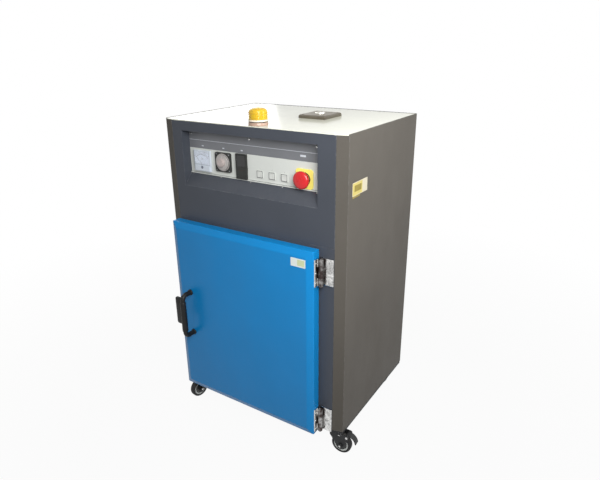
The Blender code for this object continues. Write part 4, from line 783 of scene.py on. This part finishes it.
def add_floor():
    """A wide floor that takes soft shadows and goes over to white away from the dryer."""
    tree, shader, place = new_material("pale floor")
    normal = bumped(tree, noise(tree, place, 18.0, 4.0, 0.6), 0.0005)
    feed(tree, shader.inputs, {"Base Color": (0.30, 0.30, 0.30, 1), "Roughness": 0.9, "Normal": normal})
    white = wire(tree, "ShaderNodeEmission", {"Color": (1, 1, 1, 1), "Strength": 1.0})
    near, far = 0.9, 2.6
    paler = spread(tree, vectors(tree, "LENGTH", place), near, far, 0.95, 1.0)
    share = maths(tree, "MULTIPLY", seen_rays(tree), paler)
    mixed = wire(tree, "ShaderNodeMixShader", {0: share, 1: shader.outputs[0], 2: white.outputs[0]})
    feed(tree, tree.get_output_node("ALL").inputs, {"Surface": mixed.outputs[0]})
    across = np.linspace(-FLOOR_REACH, FLOOR_REACH, FLOOR_POINTS)
    points = np.stack(np.meshgrid(across, across, 0.0, indexing="ij"), -1).reshape(-1, 3)
    index = np.arange(FLOOR_POINTS ** 2).reshape(FLOOR_POINTS, FLOOR_POINTS)
    quads = np.stack((index[:-1, :-1], index[1:, :-1], index[1:, 1:], index[:-1, 1:]), -1).reshape(-1, 4)
    mesh = bpy.data.meshes.new("floor")
    mesh.from_pydata(points.tolist(), [], quads.tolist())
    mesh.materials.append(bpy.data.materials["pale floor"])
    floor = added("floor", mesh)


class DRYER_OT_stage(bpy.types.Operator):
    """Set the camera at the photograph's view, the lamps, the even light and the floor"""

    bl_idname = "dryer.stage"
    bl_label = "Stage"

    def execute(self, context):
        stage = context.scene.dryer_stage
        add_camera(context.scene, stage)
        add_lamps(stage)
        add_world(context.scene, stage)
        add_floor()
        context.scene.view_settings.view_transform = "Standard"
        return {"FINISHED"}


class DRYER_OT_panel_prints(bpy.types.Operator):
    """Add the band's line and marks, the seam low on the plate, and the screws of the band and the sill"""

    bl_idname = "dryer.panel_prints"
    bl_label = "Panel prints"

    def execute(self, context):
        sizes = context.scene.dryer_sizes
        low, high, centre = extent("panel_band")
        face, width, proud = low.y, high.x - low.x, sizes.print_depth
        line_level, mark_level, wide_level, screw_level = 1.1632, 1.1425, 1.1500, 1.1850
        line = placed(slab(width - 0.002, sizes.line, proud, 0.0003), (centre.x, face, line_level))
        piece("band_line", line, "pale print")
        marked = [(extent(node)[2].x, face, mark_level) for node in ("ammeter", "timer_housing", "controller")]
        marks = gathered(placed(slab(0.009, 0.0036, proud, 0.0006), marked),
                         placed(slab(0.022, 0.0066, proud, 0.0008), (0.1816, face, wide_level)))
        piece("band_marks", marks, "pale print")
        across = (low.x + 0.010, -0.0414, high.x - 0.0262)
        screws("panel_screws", screw_head(sizes.screw, 0.0018), [(x, face, screw_level) for x in across])
        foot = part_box("panel_plate")[0].z
        seam = placed(slab(width - 0.001, 0.0012, 0.0003, 0.0003), (centre.x, face, foot + 0.0037))
        piece("plate_seam", seam, "dark print")
        down = 0.0042
        on_sill = (face + 0.0003 - down * SILL_RUN, foot - 0.0003 - down * SILL_RISE)
        places = [(x, *on_sill) for x in np.linspace(-0.316, 0.236, 5)]
        screws("sill_screws", screw_head(sizes.screw * 0.8, 0.0012), places, "sill")
        return {"FINISHED"}


class DRYER_OT_meter(bpy.types.Operator):
    """Add the meter's card, scale, needle, clear front, lower front and setting screw"""

    bl_idname = "dryer.meter"
    bl_label = "Meter"

    def execute(self, context):
        low, high, centre = extent("ammeter")
        floor, window, lower = low.y + 0.002, high.z - 0.028, low.z + 0.0135
        card = placed(slab(0.0716, 0.0476, 0.0003, 0.0008), (centre.x, floor, window))
        piece("meter_card", card, "meter card")
        pivot = (centre.x, floor - 0.0003, window - 0.0265)
        scale_start, scale_end, needle_turn = 137, 43, math.radians(44)
        angles, arc = (np.radians(np.linspace(scale_start, scale_end, count)) for count in (31, 61))
        long_tick = slab(0.0050, 0.00055, 0.0001, 0.0002, 0.00002)
        short_tick = slab(0.0028, 0.00035, 0.0001, 0.00015, 0.00002)
        arc = np.insert(polar(0.0385, arc), 2, 0.00005, axis=1)
        marks = [fanned(long_tick, 0.0410, angles[::5]), fanned(short_tick, 0.0399, angles),
                 strip(arc, 0.0003, 0.00005)]
        for number, degrees, reach in (
            ("0", scale_start, 0.0465), ("10", 105.7, 0.0475), ("20", 74.3, 0.0475), ("30", 47, 0.0468)
        ):
            marks.append(moved(lettering(number, 0.0050, 0.0001), *polar(reach, math.radians(degrees))))
        marks.append(moved(lettering("A", 0.0095, 0.0001), up=0.0225))
        piece("meter_scale", placed(gathered(*marks), pivot), "dark print")
        needle = strip(np.linspace((0, 0, 0.0007), (0, 0.0400, 0.0007), 9), 0.0005, 0.0001)
        needle = placed(needle, pivot, turn=needle_turn)
        piece("meter_needle", needle, "dark print")
        cover = plate(0.0718, 0.0478, 0.001, ((0, 0), (0, 0.0005), (0.0004, 0.0008)))
        piece("meter_glass", placed(cover, (centre.x, floor - 0.0012, window)), "clear cover")
        apron = plate(0.072, 0.0205, 0.002, ((0, 0), (0, 0.0006), (0.0006, 0.0012)))
        piece("meter_apron", placed(apron, (centre.x, low.y, lower)), "meter body")
        sides = [(x, low.y, centre.z) for x in (low.x + 0.0024, high.x - 0.0024)]
        lines = gathered(placed(slab(0.0755, 0.0009, 0.0002, 0.0003), (centre.x, low.y, low.z + 0.0258)),
                         placed(slab(0.0007, 0.071, 0.0002, 0.0003), sides))
        piece("meter_lines", lines, "meter line")
        setting = gathered(screw_head(0.0040, 0.0012, OVAL), washer(0.0058, 0.0042, 0.0007))
        setting = placed(setting, (centre.x, low.y - 0.0012, lower + 0.003))
        piece("meter_setting_screw", setting, "meter line")
        return {"FINISHED"}


class DRYER_OT_timer(bpy.types.Operator):
    """Add the timer's skirt, grip, pointer, ticks, numbers and rim"""

    bl_idname = "dryer.timer"
    bl_label = "Timer"

    def execute(self, context):
        x, _, z = extent("timer_dial")[2]
        low, high, _ = extent("timer_housing")
        at = (x, low.y - 0.001, z)
        skirt = turned(((0.004, -0.0060), (0.004, 0.0), (0.0276, 0.0), (0.0280, 0.0004), (0.0280, 0.0030),
                        (0.0272, 0.0038), (0.0262, 0.0040), (0.0190, 0.0034), (0.0180, 0.0040), (0.0150, 0.0040)))
        piece("timer_skirt", placed(skirt, at), "dial skirt", "timer_knob", ("timer_dial",))
        flutes, flute_depth = 12, 0.055
        dips = flute_depth * (0.5 - 0.5 * np.cos(angles_round(FINE) * flutes)) ** 2
        steps = ((0.0155, 0.0036, 1), (0.0152, 0.0060, 1), (0.0142, 0.0132, 1), (0.0136, 0.0146, 0.7),
                 (0.0126, 0.0150, 0.3), (0.0100, 0.0150, 0), (0.0094, 0.0144, 0), (0.0030, 0.0144, 0))
        rings = [circle(radius) * (1 - depth * dips)[:, None] for radius, _, depth in steps]
        grip = skin(layers(rings, [height for _, height, _ in steps]))
        piece("timer_grip", placed(grip, at), "dial grip", "timer_knob")
        pointer = moved(slab(0.0011, 0.0080, 0.0003, 0.0004), 0, 0.0095, 0.0149)
        tip = moved(slab(0.0012, 0.0062, 0.0002, 0.0004), 0, 0.0222, 0.0036)
        piece("timer_pointer", placed(gathered(pointer, tip), at), "pale print", "timer_knob")
        ticks = fanned(slab(0.0022, 0.0005, 0.0002, 0.0002, 0.00002), 0.0246, angles_round(24))
        piece("timer_ticks", placed(moved(ticks, out=0.0037), at), "dark print", "timer_knob")
        at, corner = (x, low.y, z), (high.x - low.x) / 2 - 0.0065
        numbers = [moved(lettering(number, 0.0048, 0.0002), sx * corner, sz * corner)
                   for number, sx, sz in (("0", -1, -1), ("10", -1, 1), ("20", 1, 1), ("30", 1, -1))]
        piece("timer_numbers", placed(gathered(*numbers), at), "pale print")
        rim = ((0.0322, 0), (0.0322, 0.0006), (0.0316, 0.0010), (0.0296, 0.0010), (0.0290, 0.0006), (0.0290, 0))
        piece("timer_rim", placed(turned(rim, closed=True), at), "dial skirt")
        return {"FINISHED"}


class DRYER_OT_controller(bpy.types.Operator):
    """Add the controller's dark window, its trim, keys and unlit lamps"""

    bl_idname = "dryer.controller"
    bl_label = "Controller"

    def execute(self, context):
        low, high, centre = extent("controller")
        window = high.z - 0.025
        glass = plate(0.0396, 0.0416, 0.0012, ((0, 0), (0, 0.0009), (0.0004, 0.0012)))
        glass = placed(glass, (centre.x, low.y + 0.0015, window))
        piece("controller_window", glass, "smoked window")
        trims = gathered(placed(window_frame(0.0400, 0.0420, 0.0009, 0.0005), (centre.x, low.y, window)),
                         placed(window_frame(0.0400, 0.0370, 0.0007, 0.0003), (centre.x, low.y, low.z + 0.0225)))
        piece("controller_trims", trims, "key black")
        key = plate(0.0072, 0.0052, 0.0010, ((0, 0), (0, 0.0007), (0.0004, 0.0011), (0.0014, 0.0010)))
        lamp = turned(((0.0009, 0), (0.0009, 0.0003), (0.0007, 0.0005), (0.0003, 0.0006)), 24)
        for name, shell, pitch, up, finish, slot in (
            ("keys", key, 0.0089, 0.0110, "key black", "instrument_black"),
            ("lamps", lamp, 0.009, 0.0335, "lamp red", "signal_red"),
        ):
            row = [(centre.x + step * pitch, low.y, low.z + up) for step in (-1.5, -0.5, 0.5, 1.5)]
            piece(f"controller_{name}", placed(shell, row), finish)
        return {"FINISHED"}


class DRYER_OT_buttons(bpy.types.Operator):
    """Add the three push buttons' caps, dark frames that are partly painted shade round the caps, and numbers"""

    bl_idname = "dryer.buttons"
    bl_label = "Push buttons"

    def execute(self, context):
        bezels, numbers, face = [], [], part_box("panel_band")[0].y
        for index in (1, 2, 3):
            name = f"push_button_{index}"
            low, high, centre = extent(name)
            width, deep, height = high - low
            cap = plate(width, height, 0.0012, (
                (0, 0), (0, deep - 0.0012), (0.0005, deep - 0.0003), (0.0016, deep), (0.0032, deep - 0.0004),
                (0.0050, deep - 0.0006)))
            cap = placed(cap, (centre.x, high.y, centre.z))
            piece(f"button_cap_{index}", cap, "button cap", f"button_{index}", (name,))
            # A dark frame round each cap: partly the frame itself, partly painted shade round the raised cap.
            bezel = window_frame(width + 0.0044, height + 0.0044, 0.0018, 0.0005)
            bezels.append(placed(bezel, (centre.x, low.y + 0.002, centre.z)))
            numbers.append(placed(lettering(str(index), 0.0052, 0.0002), (centre.x, face, high.z + 0.0095)))
        piece("button_bezels", gathered(*bezels), "bezel grey")
        piece("button_numbers", gathered(*numbers), "dark print")
        return {"FINISHED"}


class DRYER_OT_stop_button(bpy.types.Operator):
    """Add the red mushroom head and the dark ring on its plate"""

    bl_idname = "dryer.stop_button"
    bl_label = "Stop button"

    def execute(self, context):
        low, _, centre = extent("stop_head")
        dome = [(0.0300 * math.cos(t) ** 0.9 + 0.0002, 0.0124 + 0.0096 * math.sin(t))
                for t in np.linspace(0, math.pi / 2, 10)[:-1]]
        head = turned(((0.0100, -0.0060), (0.0100, 0.0060), (0.0288, 0.0060), (0.0296, 0.0064), (0.0300, 0.0072),
                       (0.0300, 0.0100), *dome, (0.0012, 0.0220)))
        head = placed(head, (centre.x, low.y + 0.0220, centre.z))
        piece("stop_mushroom", head, "stop red", "stop_button", ("stop_head",))
        ring = ((0.0236, 0), (0.0236, 0.0010), (0.0230, 0.0016), (0.0208, 0.0016), (0.0203, 0.0010), (0.0203, 0))
        ring = placed(turned(ring, closed=True), (centre.x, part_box("stop_plate")[0].y + 0.006, centre.z))
        piece("stop_ring", ring, "instrument black")
        return {"FINISHED"}


class DRYER_OT_beacon(bpy.types.Operator):
    """Add the warning lamp's foot, its dark ring, its collar and its ribbed lens"""

    bl_idname = "dryer.beacon"
    bl_label = "Warning lamp"

    def execute(self, context):
        low, high, centre = extent("beacon_base")
        radius = (high.x - low.x) / 2
        neck = radius - 0.0015
        foot = ((radius - 0.0004, 0.0), (radius, 0.0005), (radius, 0.0091), (radius - 0.0003, 0.0097),
                (radius - 0.0010, 0.0101), (neck, 0.0106))
        ring = ((neck - 0.0002, 0.0102), (neck - 0.0002, 0.0138))
        collar = ((neck, 0.0132), (radius - 0.0008, 0.0140), (radius, 0.0147), (radius, 0.0187),
                  (radius - 0.0005, 0.0193), (0.0100, 0.0195))
        start, end = (corner.z - low.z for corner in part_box("beacon_lens"))
        valley, ribs, rib_height, cover = neck - 0.0015, 4, 0.0066, []
        for _ in range(ribs):
            cover += [(neck - 0.0002, start), (neck, start + 0.0005), (neck, start + 0.0030),
                      (neck - 0.0003, start + 0.0038), (valley + 0.0002, start + 0.0050), (valley, start + 0.0058)]
            start += rib_height
        cover += [(valley * math.cos(t), start + (end - start) * math.sin(t)) for t in np.linspace(0, 1.53, 11)]
        for name, profile, finish, slot, replaced in (
            ("foot", foot, "lamp foot", "beacon_cream", ("beacon_base",)),
            ("ring", ring, "seal rubber", "seal_rubber", ()),
            ("collar", collar, "lamp cream", "beacon_cream", ()),
            ("cover", cover, "lamp lens", "beacon_yellow", ("beacon_lens",)),
        ):
            shell = placed(turned(profile), (centre.x, centre.y, low.z), "top")
            piece(f"beacon_{name}", shell, finish, instead_of=replaced)
        return {"FINISHED"}


class DRYER_OT_vent(bpy.types.Operator):
    """Add the vent box's bright disc and screws"""

    bl_idname = "dryer.vent"
    bl_label = "Vent"

    def execute(self, context):
        low, high, centre = extent("vent_box")
        shoulder, inset = high.z - 0.004, 0.012
        disc = turned(((0.0192, -0.0010), (0.0192, 0.0030), (0.0188, 0.0038), (0.0180, 0.0042), (0.0128, 0.0043),
                       (0.0120, 0.0036), (0.0042, 0.0036), (0.0036, 0.0042), (0.0008, 0.0044)))
        piece("vent_disc", placed(disc, (centre.x, centre.y, shoulder), "top"), "bright disc")
        corners = [(x, y, shoulder) for x in (low.x + inset, high.x - inset) for y in (low.y + inset, high.y - inset)]
        heads = placed(screw_head(context.scene.dryer_sizes.screw * 0.85, 0.0014), corners, "top")
        piece("vent_screws", heads, "vent metal")
        return {"FINISHED"}


class DRYER_OT_plates(bpy.types.Operator):
    """Add the bare stuck plates on the door and on the side"""

    bl_idname = "dryer.plates"
    bl_label = "Bare plates"

    def execute(self, context):
        depth = context.scene.dryer_sizes.label_depth
        door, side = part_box("door_leaf")[0].y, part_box("side_panel_right")[1].x
        half = depth * 0.5
        for name, finish, slot, body, facing, slabs in (
            ("door_plate", "label white", "panel_grey", "door", "front", (
                ((0.059, 0.031, depth, 0.002), (0.2151, door, 0.8065)),)),
            ("door_plate_tint", "label lime", "signal_yellow", "door", "front", (
                ((0.028, 0.022, half, 0.0015), (0.2260, door - depth, 0.8070)),)),
            ("side_plate", "label stock", "panel_grey", "cabinet", "right", (
                ((0.107, 0.045, depth, 0.002), (side, -0.1375, 1.0585)),)),
            ("side_plate_field", "label yellow", "signal_yellow", "cabinet", "right", (
                ((0.068, 0.041, half, 0.002), (side + depth, -0.1555, 1.0585)),)),
            ("side_plate_tint", "label olive", "signal_yellow", "cabinet", "right", (
                ((0.050, 0.021, half, 0.002), (side + depth * 1.5, -0.1530, 1.0600)),
                ((0.054, 0.006, depth, 0.001), (side, -0.1630, 1.0325)))),
        ):
            stuck = [placed(slab(*size, edge=0.0001), place, facing) for size, place in slabs]
            piece(name, gathered(*stuck), finish, body)
        return {"FINISHED"}


class DRYER_OT_hinge_screws(bpy.types.Operator):
    """Add the screws of the two hinges, on the frame's leaves and on the door's"""

    bl_idname = "dryer.hinge_screws"
    bl_label = "Hinge screws"

    def execute(self, context):
        size, leaf_rise = context.scene.dryer_sizes.hinge_screw, 0.0068
        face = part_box("side_panel_right")[0].y - leaf_rise
        on_frame, on_door = [], []
        for end in ("lower", "upper"):
            _, outer, frame_leaf = extent(f"hinge_frame_{end}")
            inner, _, door_leaf = extent(f"hinge_door_{end}")
            for level in (-0.036, 0.0, 0.036):
                on_frame.append((outer.x - 0.014, face, frame_leaf.z + level))
                on_door.append((inner.x + 0.0048, inner.y + 0.0056, door_leaf.z + level))
        screws("hinge_screws", screw_head(size, 0.0012, OVAL), on_frame)
        screws("hinge_door_screws", screw_head(size * 0.75, 0.0009, OVAL), on_door, "right", "door")
        return {"FINISHED"}


class DRYER_OT_handle(bpy.types.Operator):
    """Add the door's black pull: bow, grip, paddle, feet and foot covers"""

    bl_idname = "dryer.handle"
    bl_label = "Door pull"

    def execute(self, context):
        low, high, _ = extent("door_handle")
        foot_radius, grip_radius, bend, gap = 0.0125, 0.0120, 0.020, 0.003
        x, out, face = high.x - foot_radius, low.y + grip_radius, high.y
        foot_low, foot_high = low.z + foot_radius, high.z - foot_radius
        cosine, sine = bend * circle(1.0, 48)[:13].T
        first = np.stack((out + bend - sine, foot_high - bend + cosine), -1)
        second = np.stack((out + bend - cosine, foot_low + bend - sine), -1)
        run = np.linspace((out, foot_high - bend), (out, foot_low + bend), 11)[1:-1]
        bow = np.concatenate((((face, foot_high),), first, run, second, ((face, foot_low),)))
        bow = carried(np.insert(bow, 0, x, axis=1), circle(0.0095, 40))
        span = foot_high - foot_low - 2 * (bend + gap)
        swell = ((0.0090, 0.0), (0.0100, 0.0010), (0.0113, 0.0030), (grip_radius, 0.0056))
        grip = placed(turned(mirrored(swell, span), SMALL), (x, out, foot_low + bend + gap), "top")
        foot = turned(((foot_radius - 0.0004, 0.0), (foot_radius, 0.0004), (foot_radius, 0.0028), (0.0120, 0.0042),
                       (0.0106, 0.0058), (0.0096, 0.0062)), SMALL)
        feet = placed(foot, ((x, face, foot_low), (x, face, foot_high)))
        width, height, thick, ease = grip_radius + 0.0235, 0.118, 0.009, 0.0016
        paddle = plate(width, height, 0.008, (
            (ease, 0), (ease * 0.3, ease * 0.3), (0, ease), (0, thick - ease), (ease * 0.3, thick - ease * 0.3),
            (ease, thick)))
        paddle = placed(paddle, (x - width / 2, out + thick / 2, foot_high - 0.006 - height / 2))
        handle = gathered(bow, grip, feet, paddle)
        piece("door_pull", handle, "handle black", "door", ("door_handle",))
        return {"FINISHED"}


# The sections of a wheel's tyre, rim and hub: radius and height on one side.
TYRE = ((0.0300, 0.0090), (0.0302, 0.0122), (0.0310, 0.0130), (0.0345, 0.0130), (0.0372, 0.0120), (0.0390, 0.0100),
        (0.0398, 0.0076), (0.0400, 0.0050))
RIM = ((0.0236, 0.0080), (0.0242, 0.0108), (0.0250, 0.0113), (0.0292, 0.0116), (0.0299, 0.0108))
HUB = ((0.0054, 0.0147), (0.0112, 0.0147), (0.0120, 0.0140), (0.0124, 0.0096), (0.0200, 0.0086), (0.0237, 0.0094))


class DRYER_OT_casters(bpy.types.Operator):
    """Add the casters' tyres, rims, hubs, axle nuts and ends, plate bolts, and the bolt of the brake pedal"""

    bl_idname = "dryer.casters"
    bl_label = "Casters"

    def execute(self, context):
        joints = {joint["name"]: joint for joint in frame["joints"]}
        bolts, bolt_x, bolt_y = [], 0.036, 0.029
        for name in CASTERS:
            axis, centre = joints[f"wheel_{name}_spin"]["axis"], extent(f"wheel_{name}")[2]
            for part, profile, finish, replaced in (
                ("tyre", mirrored(TYRE, between=((0.0400, 0.0),)), "tyre rubber", (f"wheel_{name}",)),
                ("rim", mirrored(RIM)[::-1], "rim plastic", ()),
                ("hub", mirrored(HUB)[::-1], "hub plastic", ()),
            ):
                shell = on_axle(turned(profile, closed=True), axis, centre)
                piece(f"{part}_{name}", shell, finish, f"roller_{name}", replaced)
            tip = turned(((0.0040, 0), (0.0040, 0.0012), (0.0030, 0.0018)), 32)
            for part, shell, reach, finish, slot in (
                ("nuts", hex_head(0.0093, 0.0063), 0.0193, "caster steel", "caster_steel"),
                ("ends", tip, 0.0250, "plated screw", "chrome"),
            ):
                shell = on_axle(both_ends(shell, reach), axis, centre)
                piece(f"axle_{part}_{name}", shell, finish, f"swivel_{name}")
            x, y, _ = joints[f"swivel_{name}_turn"]["pos_m"]
            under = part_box("fork_front_left")[1].z + 0.0003
            bolts += [(x + sx * bolt_x, y + sy * bolt_y, under) for sx in (-1, 1) for sy in (-1, 1)]
        screws("plate_bolts", hex_head(context.scene.dryer_sizes.plate_bolt, 0.0050), bolts, "under")
        brake = joints["brake_front_right_press"]
        pin = on_axle(both_ends(hex_head(0.0048, 0.0030), 0.0194), brake["axis"], brake["pos_m"])
        piece("pedal_bolt", pin, "plated screw", "swivel_front_right")
        return {"FINISHED"}


class DRYER_OT_body_screws(bpy.types.Operator):
    """Add the screws of the back panel and of the door's inner panel"""

    bl_idname = "dryer.body_screws"
    bl_label = "Body screws"

    def execute(self, context):
        head = screw_head(context.scene.dryer_sizes.screw, 0.0018)
        for name, node, body, inset_x, inset_z, rows in (
            ("back_screws", "back_wall", "cabinet", 0.014, 0.018, 5),
            ("door_screws", "door_inner_panel", "door", 0.016, 0.016, 4),
        ):
            low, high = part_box(node)
            across = np.linspace(low.x + inset_x, high.x - inset_x, 4)
            levels = np.linspace(low.z + inset_z, high.z - inset_z, rows)
            places = [(x, high.y, z) for x in across for z in (levels[0], levels[-1])]
            places += [(x, high.y, z) for x in (across[0], across[-1]) for z in levels[1:-1]]
            screws(name, head, places, "back", body)
        return {"FINISHED"}


class DRYER_PT_panel(bpy.types.Panel):
    """The dryer's steps and settings in the 3D view's sidebar"""

    bl_idname = "DRYER_PT_panel"
    bl_label = "Tray cabinet dryer"
    bl_space_type = "VIEW_3D"
    bl_region_type = "UI"
    bl_category = "Dryer"

    def draw(self, context):
        for operator in OPERATORS:
            self.layout.operator(operator.bl_idname)
        for group in (context.scene.dryer_colours, context.scene.dryer_sizes, context.scene.dryer_stage):
            box = self.layout.box()
            for key in group.__annotations__:
                box.prop(group, key)


GROUPS = {"dryer_colours": DryerColours, "dryer_sizes": DryerSizes, "dryer_stage": DryerStage}
OPERATORS = (
    DRYER_OT_stage, DRYER_OT_finishes, DRYER_OT_panel_prints, DRYER_OT_meter, DRYER_OT_timer, DRYER_OT_controller,
    DRYER_OT_buttons, DRYER_OT_stop_button, DRYER_OT_beacon, DRYER_OT_vent, DRYER_OT_plates, DRYER_OT_hinge_screws,
    DRYER_OT_handle, DRYER_OT_casters, DRYER_OT_body_screws,
)


def register():
    for key, group in GROUPS.items():
        bpy.utils.register_class(group)
        setattr(bpy.types.Scene, key, bpy.props.PointerProperty(type=group))
    for shown in (*OPERATORS, DRYER_PT_panel):
        bpy.utils.register_class(shown)


def unregister():
    for shown in (DRYER_PT_panel, *reversed(OPERATORS)):
        bpy.utils.unregister_class(shown)
    for key, group in GROUPS.items():
        delattr(bpy.types.Scene, key)
        bpy.utils.unregister_class(group)


def main():
    register()
    for operator in OPERATORS:
        step = operator.bl_idname.split(".")[1]
        getattr(bpy.ops.dryer, step)()


if __name__ == "__main__":
    main()
